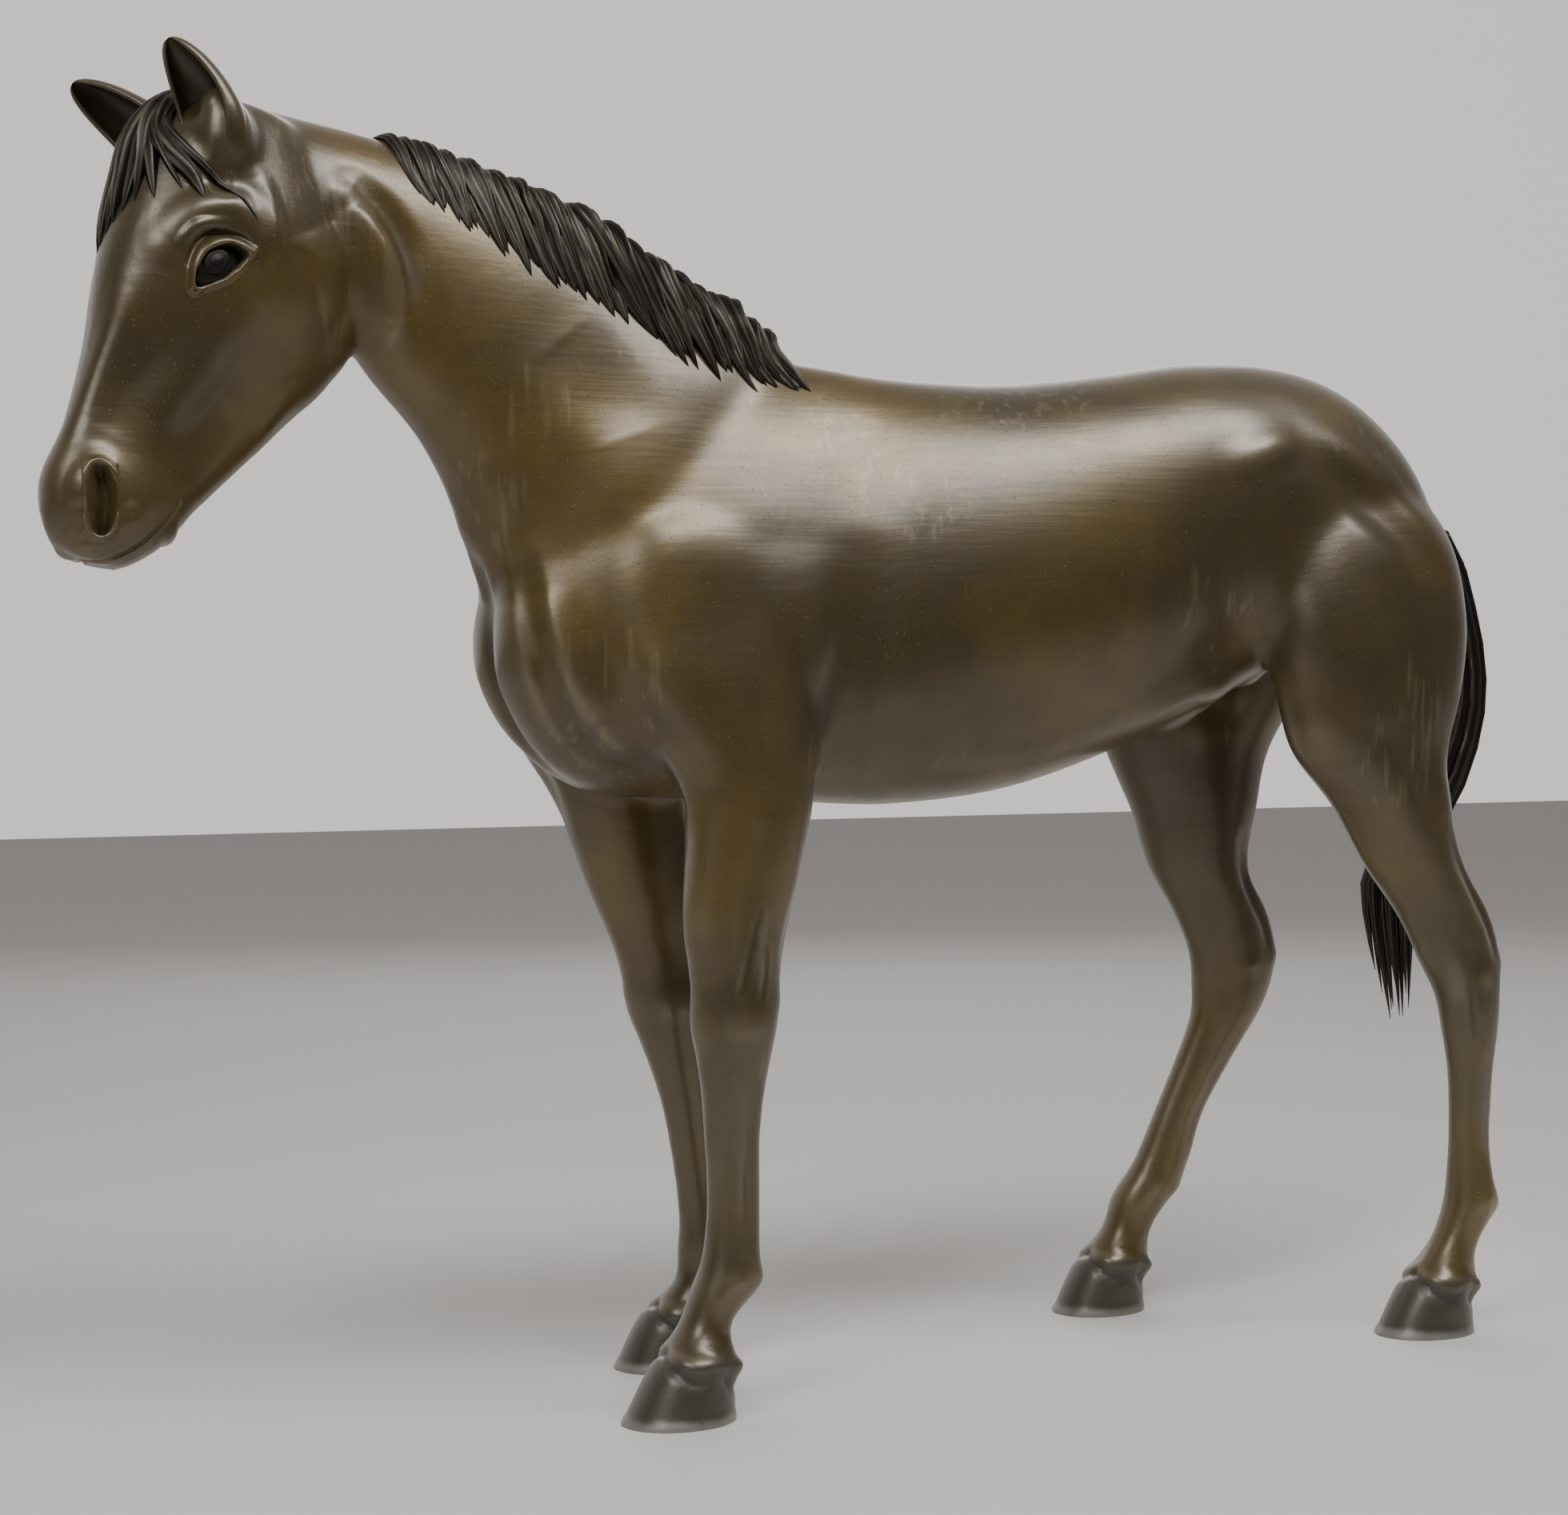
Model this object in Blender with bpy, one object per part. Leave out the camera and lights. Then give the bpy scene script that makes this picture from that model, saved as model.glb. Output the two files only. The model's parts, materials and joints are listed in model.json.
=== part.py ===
"""A standing bronze horse, cast hollow in sections by the lost-wax method.

The sections slip together over short inner collars and are welded and chased.
Run with: blender --background --python part.py
Stations are drawn in millimetres on a horse 420 mm tall at the withers. The
scales below bring every drawn length to the size set by the driving dimensions.
The horse faces -X, its left side is towards -Y, and its hooves stand on z = 0.
"""

import math
from collections import namedtuple

import bpy
from mathutils import Matrix, Vector

# Driving dimensions, in metres.
WITHERS_HEIGHT = 0.420
TRUNK_LENGTH = 0.460
TRUNK_WIDTH = 0.118
WALL = 0.0045
SEAM = 0.0003
COLLAR_LENGTH = 0.016
COLLAR_WALL = 0.0025
COLLAR_PLAY = 0.0020
WINDOW_LENGTH = 0.050
WINDOW_WIDTH = 0.026
SOLID_LEG_HEIGHT = 0.160

# The sizes that the stations are drawn at, in millimetres, and the metres that
# one drawn millimetre becomes upward, along the trunk and across it.
DRAWN_HEIGHT = 420.0
DRAWN_LENGTH = 460.0
DRAWN_WIDTH = 118.0
LEG_SEAM_Z = 225.0
SOLE_DEPTH = -4.0
UP = WITHERS_HEIGHT / DRAWN_HEIGHT
ALONG = TRUNK_LENGTH / DRAWN_LENGTH
ACROSS = TRUNK_WIDTH / DRAWN_WIDTH

# Seams of the neck: a point on each and the direction it faces, towards the head.
NECK_SEAM = ((-158.0, 0.0, 380.0), (-0.72, 0.0, 0.69))
HEAD_SEAM = ((-262.0, 0.0, 446.0), (-1.0, 0.0, 0.12))

# Mesh fineness.
RING_POINTS = 20
STEPS_BETWEEN = 3
SKIN_GRAIN = 0.0036
SKIN_SMOOTHING = 5
CORE_GRAIN = 0.0060
LOCK_GRAIN = 0.0022
SKIN_TRIANGLES = 5200
CORE_TRIANGLES = 1700
LOCK_TRIANGLES = 620
TUBE_POINTS = 10
EAR_POINTS = 16
TAIL_POINTS = 12
LOCK_STEPS = 5
SHARP_ANGLE = math.radians(50)

# A length past every side of the horse, for the blocks that cut at the seams.
BEYOND = 1.2

# Head frame: where the poll is, which way the face turns and how it slopes.
HEAD_ORIGIN = (-322.0, -33.0, 490.0)
HEAD_TURN = math.radians(20.0)
FACE_SLOPE = math.radians(19.0)

Ring = namedtuple("Ring", "centre up side")
Finish = namedtuple("Finish", "colour roughness metallic")

BRONZE = Finish((0.105, 0.074, 0.036, 1.0), 0.34, 1.0)
DARK_BRONZE = Finish((0.030, 0.024, 0.019, 1.0), 0.48, 1.0)
RAW_BRONZE = Finish((0.300, 0.190, 0.085, 1.0), 0.55, 1.0)

# Trunk stations: x, top z, bottom z, half width.
TRUNK = (
    (-201, 342, 282, 22),
    (-188, 366, 256, 34),
    (-165, 392, 240, 44),
    (-125, 410, 236, 50),
    (-80, 413, 234, 54),
    (-35, 405, 233, 58),
    (15, 403, 239, 59),
    (60, 408, 253, 57),
    (105, 415, 270, 54),
    (145, 416, 288, 51),
    (182, 407, 298, 46),
    (214, 385, 304, 37),
    (238, 352, 318, 20),
)

# Neck stations: crest x and z, underside x and z, middle y, half width.
NECK = (
    (-66, 404, -150, 262, 0, 34),
    (-94, 418, -194, 300, 0, 38),
    (-128, 434, -209, 328, 0, 34),
    (-166, 456, -216, 352, -1, 30),
    (-202, 474, -228, 378, -4, 27),
    (-238, 488, -246, 402, -8, 25),
    (-272, 495, -258, 418, -14, 23),
    (-300, 496, -280, 440, -22, 20),
)

# Head stations down the face: distance, brow side, jaw side, half width.
HEAD = (
    (-10, -12, -46, 14),
    (0, 2, -57, 20),
    (15, 10, -68, 25),
    (34, 14, -79, 29),
    (55, 14, -83, 30),
    (75, 9, -79, 25),
    (92, 5, -71, 20),
    (110, 4, -61, 17),
    (127, 5, -52, 15),
    (146, 8, -45, 17),
    (160, 4, -36, 14),
    (169, -5, -26, 8),
)

# Leg stations from the top down: z, middle x and y, half length, half width.
FORELEG_LEFT = (
    (375, -112, -22, 26, 14),
    (340, -124, -30, 40, 18),
    (300, -124, -37, 44, 19),
    (262, -114, -41, 34, 21),
    (237, -111, -43, 26, 20),
    (190, -117, -43, 21, 16),
    (165, -118, -43, 17, 14),
    (148, -118, -43, 16, 14),
    (130, -119, -43, 13, 12),
    (108, -120, -43, 10.5, 9),
    (80, -120, -43, 9.5, 8),
    (60, -121, -43, 11, 9.5),
    (46, -124, -43, 12.5, 11),
    (34, -131, -43, 9.5, 10),
    (22, -137, -46, 16.5, 15),
    (SOLE_DEPTH, -144, -47, 22.5, 18),
)
FORELEG_RIGHT = (
    (375, -125, 22, 26, 14),
    (340, -142, 30, 38, 18),
    (300, -148, 34, 40, 19),
    (262, -145, 36, 34, 21),
    (237, -138, 37, 28, 20),
    (190, -125, 37, 22, 16),
    (165, -121, 37, 17, 14),
    (148, -118, 37, 16, 14),
    (130, -115, 37, 13, 12),
    (108, -110, 37, 11, 9),
    (80, -106, 37, 10, 8),
    (60, -103, 37, 11, 9.5),
    (46, -102, 37, 12.5, 11),
    (34, -105, 37, 9.5, 10),
    (22, -113, 40, 16, 15),
    (SOLE_DEPTH, -120, 41, 22, 18),
)
HINDLEG_LEFT = (
    (390, 150, -22, 44, 12),
    (350, 176, -32, 54, 20),
    (310, 178, -39, 57, 24),
    (275, 176, -40, 48, 24),
    (251, 174, -40, 38, 22),
    (228, 185, -40, 28, 19),
    (203, 194, -40, 23, 16),
    (180, 208, -40, 20, 13),
    (160, 216, -40, 17, 11.5),
    (145, 221, -40, 14, 11),
    (130, 222, -40, 12.5, 10.5),
    (112, 222, -40, 9.5, 9),
    (85, 221, -40, 8, 8),
    (67, 220, -40, 9.5, 9.5),
    (54, 219, -40, 11, 11),
    (38, 213, -39, 9.5, 10),
    (22, 204, -38, 16.5, 15),
    (SOLE_DEPTH, 199, -37, 22.5, 17),
)
HINDLEG_RIGHT = (
    (390, 140, 22, 44, 12),
    (350, 150, 32, 54, 20),
    (310, 146, 39, 56, 24),
    (275, 138, 42, 48, 24),
    (251, 134, 44, 38, 22),
    (225, 136, 45, 30, 19),
    (200, 138, 46, 24, 16),
    (180, 147, 47, 22, 13),
    (162, 153, 48, 20, 11.5),
    (148, 155, 49, 19, 11),
    (133, 152, 50, 16, 10.5),
    (114, 143, 52, 14, 9),
    (88, 131, 54, 11.5, 8),
    (66, 121, 56, 12.5, 9.5),
    (50, 114, 58, 13.5, 11),
    (36, 107, 59, 11, 10),
    (21, 97, 60, 16.5, 15),
    (SOLE_DEPTH, 92, 61, 21, 17),
)

# Tail stations: x, y, z, half length, half width, and the way the ring leans.
TAIL = (
    (204, 0, 372, 7, 7),
    (224, 0, 360, 7, 8),
    (238, 0, 338, 8, 9),
    (246, 0, 310, 8, 10),
    (250, 0, 282, 9, 10),
    (246, 1, 256, 11, 10),
    (232, 2, 227, 15, 10),
    (215, 3, 201, 18, 9),
    (213, 3, 178, 15, 8),
    (216, 3, 153, 11, 6),
    (213, 3, 126, 5, 4),
)

# Locks of hair: start and end station along the neck or head, start and end
# angle round it from the crest in degrees, root radius.
FRONT_LOCKS = (
    (5.05, 4.85, -8, 24, 4.0),
    (4.80, 4.50, -8, 34, 4.6),
    (4.55, 4.15, -8, 42, 5.0),
    (4.30, 3.80, -8, 48, 5.2),
    (4.05, 3.45, -8, 52, 5.4),
    (3.80, 3.15, -8, 56, 5.6),
    (3.55, 2.95, -8, 56, 5.6),
)
REAR_LOCKS = (
    (3.30, 2.60, -8, 50, 5.6),
    (3.05, 2.25, -8, 56, 5.8),
    (2.80, 1.95, -8, 58, 5.8),
    (2.55, 1.65, -8, 56, 5.6),
    (2.30, 1.35, -8, 52, 5.4),
    (2.05, 1.10, -8, 44, 5.0),
    (1.80, 0.85, -6, 34, 4.6),
)
FORELOCKS = (
    (0.9, 3.6, -4, 26, 4.2),
    (0.9, 3.2, 2, 44, 3.8),
    (0.9, 3.9, -10, 6, 4.2),
    (0.9, 3.7, -16, -14, 4.2),
    (0.9, 3.4, -22, -34, 4.0),
)
FORELOCK_ROOT = ((0.8, 0), (1.6, 0), (2.4, -2))
MANE_SEAM = ((-168.0, 0.0, 452.0), (-0.80, 0.0, 0.28))
LOCK_LIFT = 1.6
ROOT_RADIUS = 6.0

# The share of its root radius that a lock loses by its tip.
LOCK_TAPER = 0.62

# The core window in the belly: its middle, and the heights that its cutter spans.
WINDOW_X = 15.0
WINDOW_HEIGHTS = (215.0, 256.0)

# Ears: base and tip as drawn head points, and the way the hollow faces.
EAR_LEFT = ((8, -4, 23), (-13, 20, 18), (0.3, 1.0, 0.9))
EAR_RIGHT = ((8, -4, -23), (-2, 29, -33), (0.3, 1.0, -0.9))
EAR_WIDTHS = ((-0.25, 8.0), (0.0, 9.0), (0.35, 10.0), (0.7, 7.5), (1.0, 2.0))

# The hollow in an ear, as shares of the ear's radius: how far off and how wide.
EAR_HOLLOW_OFFSET = 0.75
EAR_HOLLOW_WIDTH = 0.72


def drawn(x, y, z):
    """A drawn point in metres."""
    return Vector((x * ALONG, y * ACROSS, z * UP))


def finish_material(name, finish):
    """One Principled material for one casting."""
    material = bpy.data.materials.new(name)
    material.use_nodes = True
    shader = material.node_tree.nodes["Principled BSDF"]
    shader.inputs["Base Color"].default_value = finish.colour
    shader.inputs["Roughness"].default_value = finish.roughness
    shader.inputs["Metallic"].default_value = finish.metallic
    return material


def trunk_rings():
    """Upright rings through the barrel, from the breast to the buttocks."""
    rings = []
    for x, top, bottom, half_width in TRUNK:
        centre = drawn(x, 0, (top + bottom) / 2)
        up = Vector((0, 0, (top - bottom) / 2 * UP))
        rings.append(Ring(centre, up, Vector((0, half_width * ACROSS, 0))))
    return rings


def neck_rings():
    """Rings from crest to underside, from inside the trunk into the head."""
    rings = []
    for crest_x, crest_z, under_x, under_z, y, half_width in NECK:
        crest = drawn(crest_x, y, crest_z)
        under = drawn(under_x, y, under_z)
        side = Vector((0, half_width * ACROSS, 0))
        rings.append(Ring((crest + under) / 2, (crest - under) / 2, side))
    return rings


def head_point(down, out, left):
    """A point of the head, drawn down the face, out from it and to its left."""
    forward = Vector((-math.cos(HEAD_TURN), -math.sin(HEAD_TURN), 0))
    leftward = Vector((math.sin(HEAD_TURN), -math.cos(HEAD_TURN), 0))
    face = forward * math.sin(FACE_SLOPE) - Vector((0, 0, math.cos(FACE_SLOPE)))
    brow = forward * math.cos(FACE_SLOPE) + Vector((0, 0, math.sin(FACE_SLOPE)))
    offset = face * down + brow * out + leftward * left
    origin = Vector(HEAD_ORIGIN)
    return drawn(*(origin + offset))


def head_rings():
    """Rings square to the face, from the poll to the lips."""
    rings = []
    for down, brow, jaw, half_width in HEAD:
        middle = (brow + jaw) / 2
        centre = head_point(down, middle, 0)
        up = head_point(down, brow, 0) - centre
        side = head_point(down, middle, half_width) - centre
        rings.append(Ring(centre, up, side))
    return rings


def leg_rings(stations, lowest=SOLE_DEPTH):
    """Level rings down a leg, stopping at the drawn height lowest."""
    rings = []
    for z, x, y, half_length, half_width in stations:
        if z >= lowest:
            along = Vector((-half_length * ALONG, 0, 0))
            across = Vector((0, half_width * ACROSS, 0))
            rings.append(Ring(drawn(x, y, z), along, across))
    return rings


def blend(before, start, end, after, t):
    """A Catmull-Rom value a share t of the way from start to end."""
    linear = (end - before) * t
    square = (before * 2 - start * 5 + end * 4 - after) * t**2
    cube = (start * 3 - before - end * 3 + after) * t**3
    return start + (linear + square + cube) / 2


def smooth_rings(rings):
    """The rings with extra ones blended in between."""
    result = []
    last = len(rings) - 1
    for index in range(last):
        picks = [rings[min(max(index + step, 0), last)] for step in (-1, 0, 1, 2)]
        for step in range(STEPS_BETWEEN):
            t = step / STEPS_BETWEEN
            result.append(Ring(*(blend(*fields, t) for fields in zip(*picks))))
    return result + [rings[last]]


def ring_points(ring, inset, count=RING_POINTS):
    """The points of one oval ring, drawn in by inset."""
    up = ring.up * max(1 - inset / ring.up.length, 0.05)
    side = ring.side * max(1 - inset / ring.side.length, 0.05)
    angles = [math.tau * step / count for step in range(count)]
    return [ring.centre + up * math.cos(a) + side * math.sin(a) for a in angles]


def loft(name, rings, inset=0.0, count=RING_POINTS):
    """A closed tube through the rings."""
    points = []
    for ring in rings:
        points.extend(ring_points(ring, inset, count))
    faces = []
    for row in range(len(rings) - 1):
        for step in range(count):
            a = row * count + step
            b = row * count + (step + 1) % count
            faces.append((a, b, b + count, a + count))
    faces.append(tuple(reversed(range(count))))
    faces.append(tuple(range(len(points) - count, len(points))))
    mesh = bpy.data.meshes.new(name)
    mesh.from_pydata(points, [], faces)
    shape = bpy.data.objects.new(name, mesh)
    bpy.context.scene.collection.objects.link(shape)
    turn_outward(shape)
    return shape


def turn_outward(shape):
    """Turns a shape's faces to point out of it."""
    bpy.ops.object.select_all(action="DESELECT")
    bpy.context.view_layer.objects.active = shape
    shape.select_set(True)
    bpy.ops.object.mode_set(mode="EDIT")
    bpy.ops.mesh.select_all(action="SELECT")
    bpy.ops.mesh.normals_make_consistent(inside=False)
    bpy.ops.object.mode_set(mode="OBJECT")


def apply_modifiers(shape):
    """Bakes a shape's modifiers into its mesh."""
    graph = bpy.context.evaluated_depsgraph_get()
    mesh = bpy.data.meshes.new_from_object(shape.evaluated_get(graph))
    shape.modifiers.clear()
    shape.data = mesh


def remove(*shapes):
    """Removes construction shapes."""
    for shape in shapes:
        bpy.data.objects.remove(shape)


def fuse(name, shapes, grain, smoothing, triangles):
    """Melts overlapping shapes into one smooth closed skin."""
    bpy.ops.object.select_all(action="DESELECT")
    for shape in shapes:
        shape.select_set(True)
    bpy.context.view_layer.objects.active = shapes[0]
    if len(shapes) > 1:
        bpy.ops.object.join()
    fused = bpy.context.view_layer.objects.active
    fused.name = name
    remesh = fused.modifiers.new("Remesh", "REMESH")
    remesh.mode = "VOXEL"
    remesh.voxel_size = grain
    smooth = fused.modifiers.new("Smooth", "SMOOTH")
    smooth.iterations = smoothing
    apply_modifiers(fused)
    faces = 2 * len(fused.data.polygons)
    decimate = fused.modifiers.new("Decimate", "DECIMATE")
    decimate.ratio = min(1.0, triangles / faces)
    apply_modifiers(fused)
    return fused


def copy_of(shape, name):
    """A separate copy of a shape."""
    copy = bpy.data.objects.new(name, shape.data.copy())
    bpy.context.scene.collection.objects.link(copy)
    return copy


def combine(shape, other, operation):
    """Cuts, joins or trims a shape with another one."""
    boolean = shape.modifiers.new(operation.title(), "BOOLEAN")
    boolean.operation = operation
    boolean.solver = "EXACT"
    boolean.object = other
    apply_modifiers(shape)


def half_space(name, seam, side, gap):
    """A large block on one side of a seam, kept half the gap back from it."""
    point, facing = seam
    direction = Vector(facing).normalized()
    bpy.ops.mesh.primitive_cube_add(size=BEYOND)
    block = bpy.context.object
    block.name = name
    turn = direction.to_track_quat("Z", "Y")
    shift = direction * side * (BEYOND / 2 + gap / 2)
    block.matrix_world = Matrix.Translation(drawn(*point) + shift) @ turn.to_matrix().to_4x4()
    bpy.context.view_layer.update()
    return block


def box(name, low, high):
    """A block between two corners, in metres."""
    bpy.ops.mesh.primitive_cube_add(size=1.0)
    block = bpy.context.object
    block.name = name
    size = Vector(high) - Vector(low)
    block.matrix_world = Matrix.Translation((Vector(high) + Vector(low)) / 2) @ Matrix.Diagonal(size).to_4x4()
    bpy.context.view_layer.update()
    return block


def dress(shape, name, finish):
    """Names a casting, gives it its finish and shades it smooth."""
    shape.name = name
    shape.data.materials.clear()
    shape.data.materials.append(finish_material(name, finish))
    for face in shape.data.polygons:
        face.material_index = 0
    shape.data.shade_smooth()
    shape.data.set_sharp_from_angle(angle=SHARP_ANGLE)
    return shape


def body_shapes(inset, lowest=SOLE_DEPTH, head_stations=len(HEAD)):
    """The overlapping tubes that make the horse's body, drawn in by inset."""
    legs = (FORELEG_LEFT, FORELEG_RIGHT, HINDLEG_LEFT, HINDLEG_RIGHT)
    runs = [trunk_rings(), neck_rings(), head_rings()[:head_stations]]
    runs += [leg_rings(stations, lowest) for stations in legs]
    return [loft("body", smooth_rings(rings), inset) for rings in runs]


def ring_at(rings, position):
    """The blended ring at a fractional position along the stations."""
    last = len(rings) - 1
    index = min(int(position), last - 1)
    picks = [rings[min(max(index + step, 0), last)] for step in (-1, 0, 1, 2)]
    return Ring(*(blend(*fields, position - index) for fields in zip(*picks)))


def position_at(rings, seam, distance):
    """Where along the rings their middle is this far past a seam, in metres."""
    point = drawn(*seam[0])
    facing = Vector(seam[1]).normalized()
    past = [(ring.centre - point).dot(facing) - distance for ring in rings]
    for index in range(len(past) - 1):
        if past[index] * past[index + 1] <= 0:
            return index + past[index] / (past[index] - past[index + 1])
    raise ValueError("the seam misses the rings")


def collar(name, rings, seam, hollow):
    """A short open sleeve across a seam, trimmed to fit the castings' hollow."""
    ends = [position_at(rings, seam, side * COLLAR_LENGTH / 2) for side in (-1, 1)]
    steps = [ends[0] + (ends[1] - ends[0]) * share for share in (0, 0.5, 1)]
    outer = WALL + COLLAR_PLAY
    inner = outer + COLLAR_WALL
    rows = [ring_points(ring_at(rings, step), outer) for step in steps]
    rows += [ring_points(ring_at(rings, step), inner) for step in reversed(steps)]
    points = [point for row in rows for point in row]
    faces = []
    for row in range(len(rows)):
        start = row * RING_POINTS
        following = (row + 1) % len(rows) * RING_POINTS
        for step in range(RING_POINTS):
            after = (step + 1) % RING_POINTS
            faces.append((start + step, start + after, following + after, following + step))
    mesh = bpy.data.meshes.new(name)
    mesh.from_pydata(points, [], faces)
    shape = bpy.data.objects.new(name, mesh)
    bpy.context.scene.collection.objects.link(shape)
    turn_outward(shape)
    combine(shape, hollow, "INTERSECT")
    return dress(shape, name, RAW_BRONZE)


def surface_point(rings, position, degrees, lift):
    """A point over a tube's skin, by station, angle from the crest and lift."""
    ring = ring_at(rings, position)
    angle = math.radians(degrees)
    offset = ring.up * math.cos(angle) - ring.side * math.sin(angle)
    return ring.centre + offset + offset.normalized() * lift


def tube(name, path, radii, count=TUBE_POINTS):
    """A closed round tube through a path of points."""
    rings = []
    for index, point in enumerate(path):
        before = path[max(index - 1, 0)]
        after = path[min(index + 1, len(path) - 1)]
        along = (after - before).normalized()
        up = along.orthogonal().normalized()
        radius = radii[index]
        rings.append(Ring(point, up * radius, along.cross(up) * radius))
    return loft(name, steady(rings), 0.0, count)


def steady(rings):
    """Turns each ring so that it lines up with the one before it."""
    result = [rings[0]]
    for ring in rings[1:]:
        along = ring.up.cross(ring.side).normalized()
        last = result[-1].up
        up = (last - along * last.dot(along)).normalized() * ring.up.length
        result.append(Ring(ring.centre, up, along.cross(up)))
    return result


def hair(name, rings, locks, root, skin_cutter):
    """Tapered locks that grow from one root along the crest, laid on the skin."""
    lift = LOCK_LIFT * UP
    shapes = []
    for start, end, from_angle, to_angle, radius in locks:
        path = []
        radii = []
        for step in range(LOCK_STEPS + 1):
            t = step / LOCK_STEPS
            position = start + (end - start) * t
            angle = from_angle + (to_angle - from_angle) * t
            path.append(surface_point(rings, position, angle, lift))
            radii.append(radius * (1 - LOCK_TAPER * t**2) * UP)
        shapes.append(tube(name, path, radii))
    spine = [surface_point(rings, position, angle, lift) for position, angle in root]
    shapes.append(tube(name, spine, [ROOT_RADIUS * UP] * len(spine)))
    piece = fuse(name, shapes, LOCK_GRAIN, 2, LOCK_TRIANGLES)
    combine(piece, skin_cutter, "DIFFERENCE")
    return dress(piece, name, DARK_BRONZE)


def ear(name, drawing, skin_cutter):
    """A tapering ear with a hollow facing forward and out."""
    base, tip, facing = drawing
    bottom = head_point(*base)
    top = head_point(*tip)
    open_side = (head_point(*facing) - head_point(0, 0, 0)).normalized()
    path = [bottom.lerp(top, share) for share, _ in EAR_WIDTHS]
    radii = [width * UP for _, width in EAR_WIDTHS]
    outer = tube(name, path, radii, EAR_POINTS)
    upper = list(zip(path, radii))[2:]
    hollow_path = [point + open_side * radius * EAR_HOLLOW_OFFSET for point, radius in upper]
    hollow_radii = [radius * EAR_HOLLOW_WIDTH for _, radius in upper]
    hollow = tube("hollow", hollow_path, hollow_radii)
    combine(outer, hollow, "DIFFERENCE")
    combine(outer, skin_cutter, "DIFFERENCE")
    remove(hollow)
    return dress(outer, name, BRONZE)


def tail(skin_cutter):
    """The tail, leaving the croup and sweeping in between the hocks."""
    centres = [drawn(x, y, z) for x, y, z, _, _ in TAIL]
    rings = []
    for index, (_, _, _, half_length, half_width) in enumerate(TAIL):
        before = centres[max(index - 1, 0)]
        after = centres[min(index + 1, len(centres) - 1)]
        across = Vector((0, 1, 0))
        up = (after - before).normalized().cross(across)
        side = across * half_width * ACROSS
        rings.append(Ring(centres[index], up * half_length * ALONG, side))
    piece = loft("tail", smooth_rings(rings), 0.0, TAIL_POINTS)
    combine(piece, skin_cutter, "DIFFERENCE")
    return dress(piece, "tail", DARK_BRONZE)


def leg_box(name, front, left):
    """The block that holds one leg between its seam and its flat sole."""
    reach = BEYOND / 2
    low_x, high_x = (-reach, 0) if front else (0, reach)
    low_y, high_y = (-reach, 0) if left else (0, reach)
    top = LEG_SEAM_Z * UP - SEAM / 2
    return box(name, (low_x, low_y, 0), (high_x, high_y, top))


def leg(name, skin, core, front, left):
    """One leg casting, hollow above the knee or hock and solid below."""
    piece = copy_of(skin, name)
    block = leg_box("block", front, left)
    combine(piece, block, "INTERSECT")
    combine(piece, core, "DIFFERENCE")
    remove(block)
    return dress(piece, name, BRONZE)


def window_box(name, gap):
    """The block that cuts the window in the belly, kept back by gap."""
    half_length = WINDOW_LENGTH / 2 - gap
    half_width = WINDOW_WIDTH / 2 - gap
    middle = WINDOW_X * ALONG
    bottom, top = (height * UP for height in WINDOW_HEIGHTS)
    low = (middle - half_length, -half_width, bottom)
    return box(name, low, (middle + half_length, half_width, top))


def trunk_castings(skin, core):
    """The trunk casting and the plate that closes the core window in its belly."""
    torso = copy_of(skin, "torso_casting")
    neck_block = half_space("neck_block", NECK_SEAM, 1, -SEAM)
    reach = BEYOND / 2
    under = box("under", (-reach, -reach, -reach), (reach, reach, LEG_SEAM_Z * UP + SEAM / 2))
    opening = window_box("opening", 0.0)
    for cutter in (neck_block, under, core, opening):
        combine(torso, cutter, "DIFFERENCE")
    plate = copy_of(skin, "core_window_plate")
    cover = window_box("cover", SEAM)
    combine(plate, cover, "INTERSECT")
    combine(plate, core, "DIFFERENCE")
    remove(neck_block, under, opening, cover)
    dress(torso, "torso_casting", BRONZE)
    dress(plate, "core_window_plate", BRONZE)


def neck_and_head(skin, core):
    """The neck casting and the head casting, either side of the head seam."""
    above_neck = half_space("above_neck", NECK_SEAM, 1, SEAM)
    behind_head = half_space("behind_head", HEAD_SEAM, -1, SEAM)
    past_head = half_space("past_head", HEAD_SEAM, 1, SEAM)
    neck = copy_of(skin, "neck_casting")
    head = copy_of(skin, "head_casting")
    for cutter in (above_neck, behind_head):
        combine(neck, cutter, "INTERSECT")
    combine(head, past_head, "INTERSECT")
    for piece in (neck, head):
        combine(piece, core, "DIFFERENCE")
        dress(piece, piece.name, BRONZE)
    remove(above_neck, behind_head, past_head)


def collars(core):
    """The inner collars of the neck, the head and the four legs."""
    hollow = copy_of(core, "hollow")
    inflate(hollow, -2 * SEAM)
    neck = neck_rings()
    collar("neck_collar", neck, NECK_SEAM, hollow)
    collar("head_collar", neck, HEAD_SEAM, hollow)
    leg_seam = ((0.0, 0.0, LEG_SEAM_Z), (0.0, 0.0, -1.0))
    legs = {
        "foreleg_left": FORELEG_LEFT,
        "foreleg_right": FORELEG_RIGHT,
        "hindleg_left": HINDLEG_LEFT,
        "hindleg_right": HINDLEG_RIGHT,
    }
    for name, stations in legs.items():
        collar(f"{name}_collar", leg_rings(stations), leg_seam, hollow)
    remove(hollow)


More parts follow.
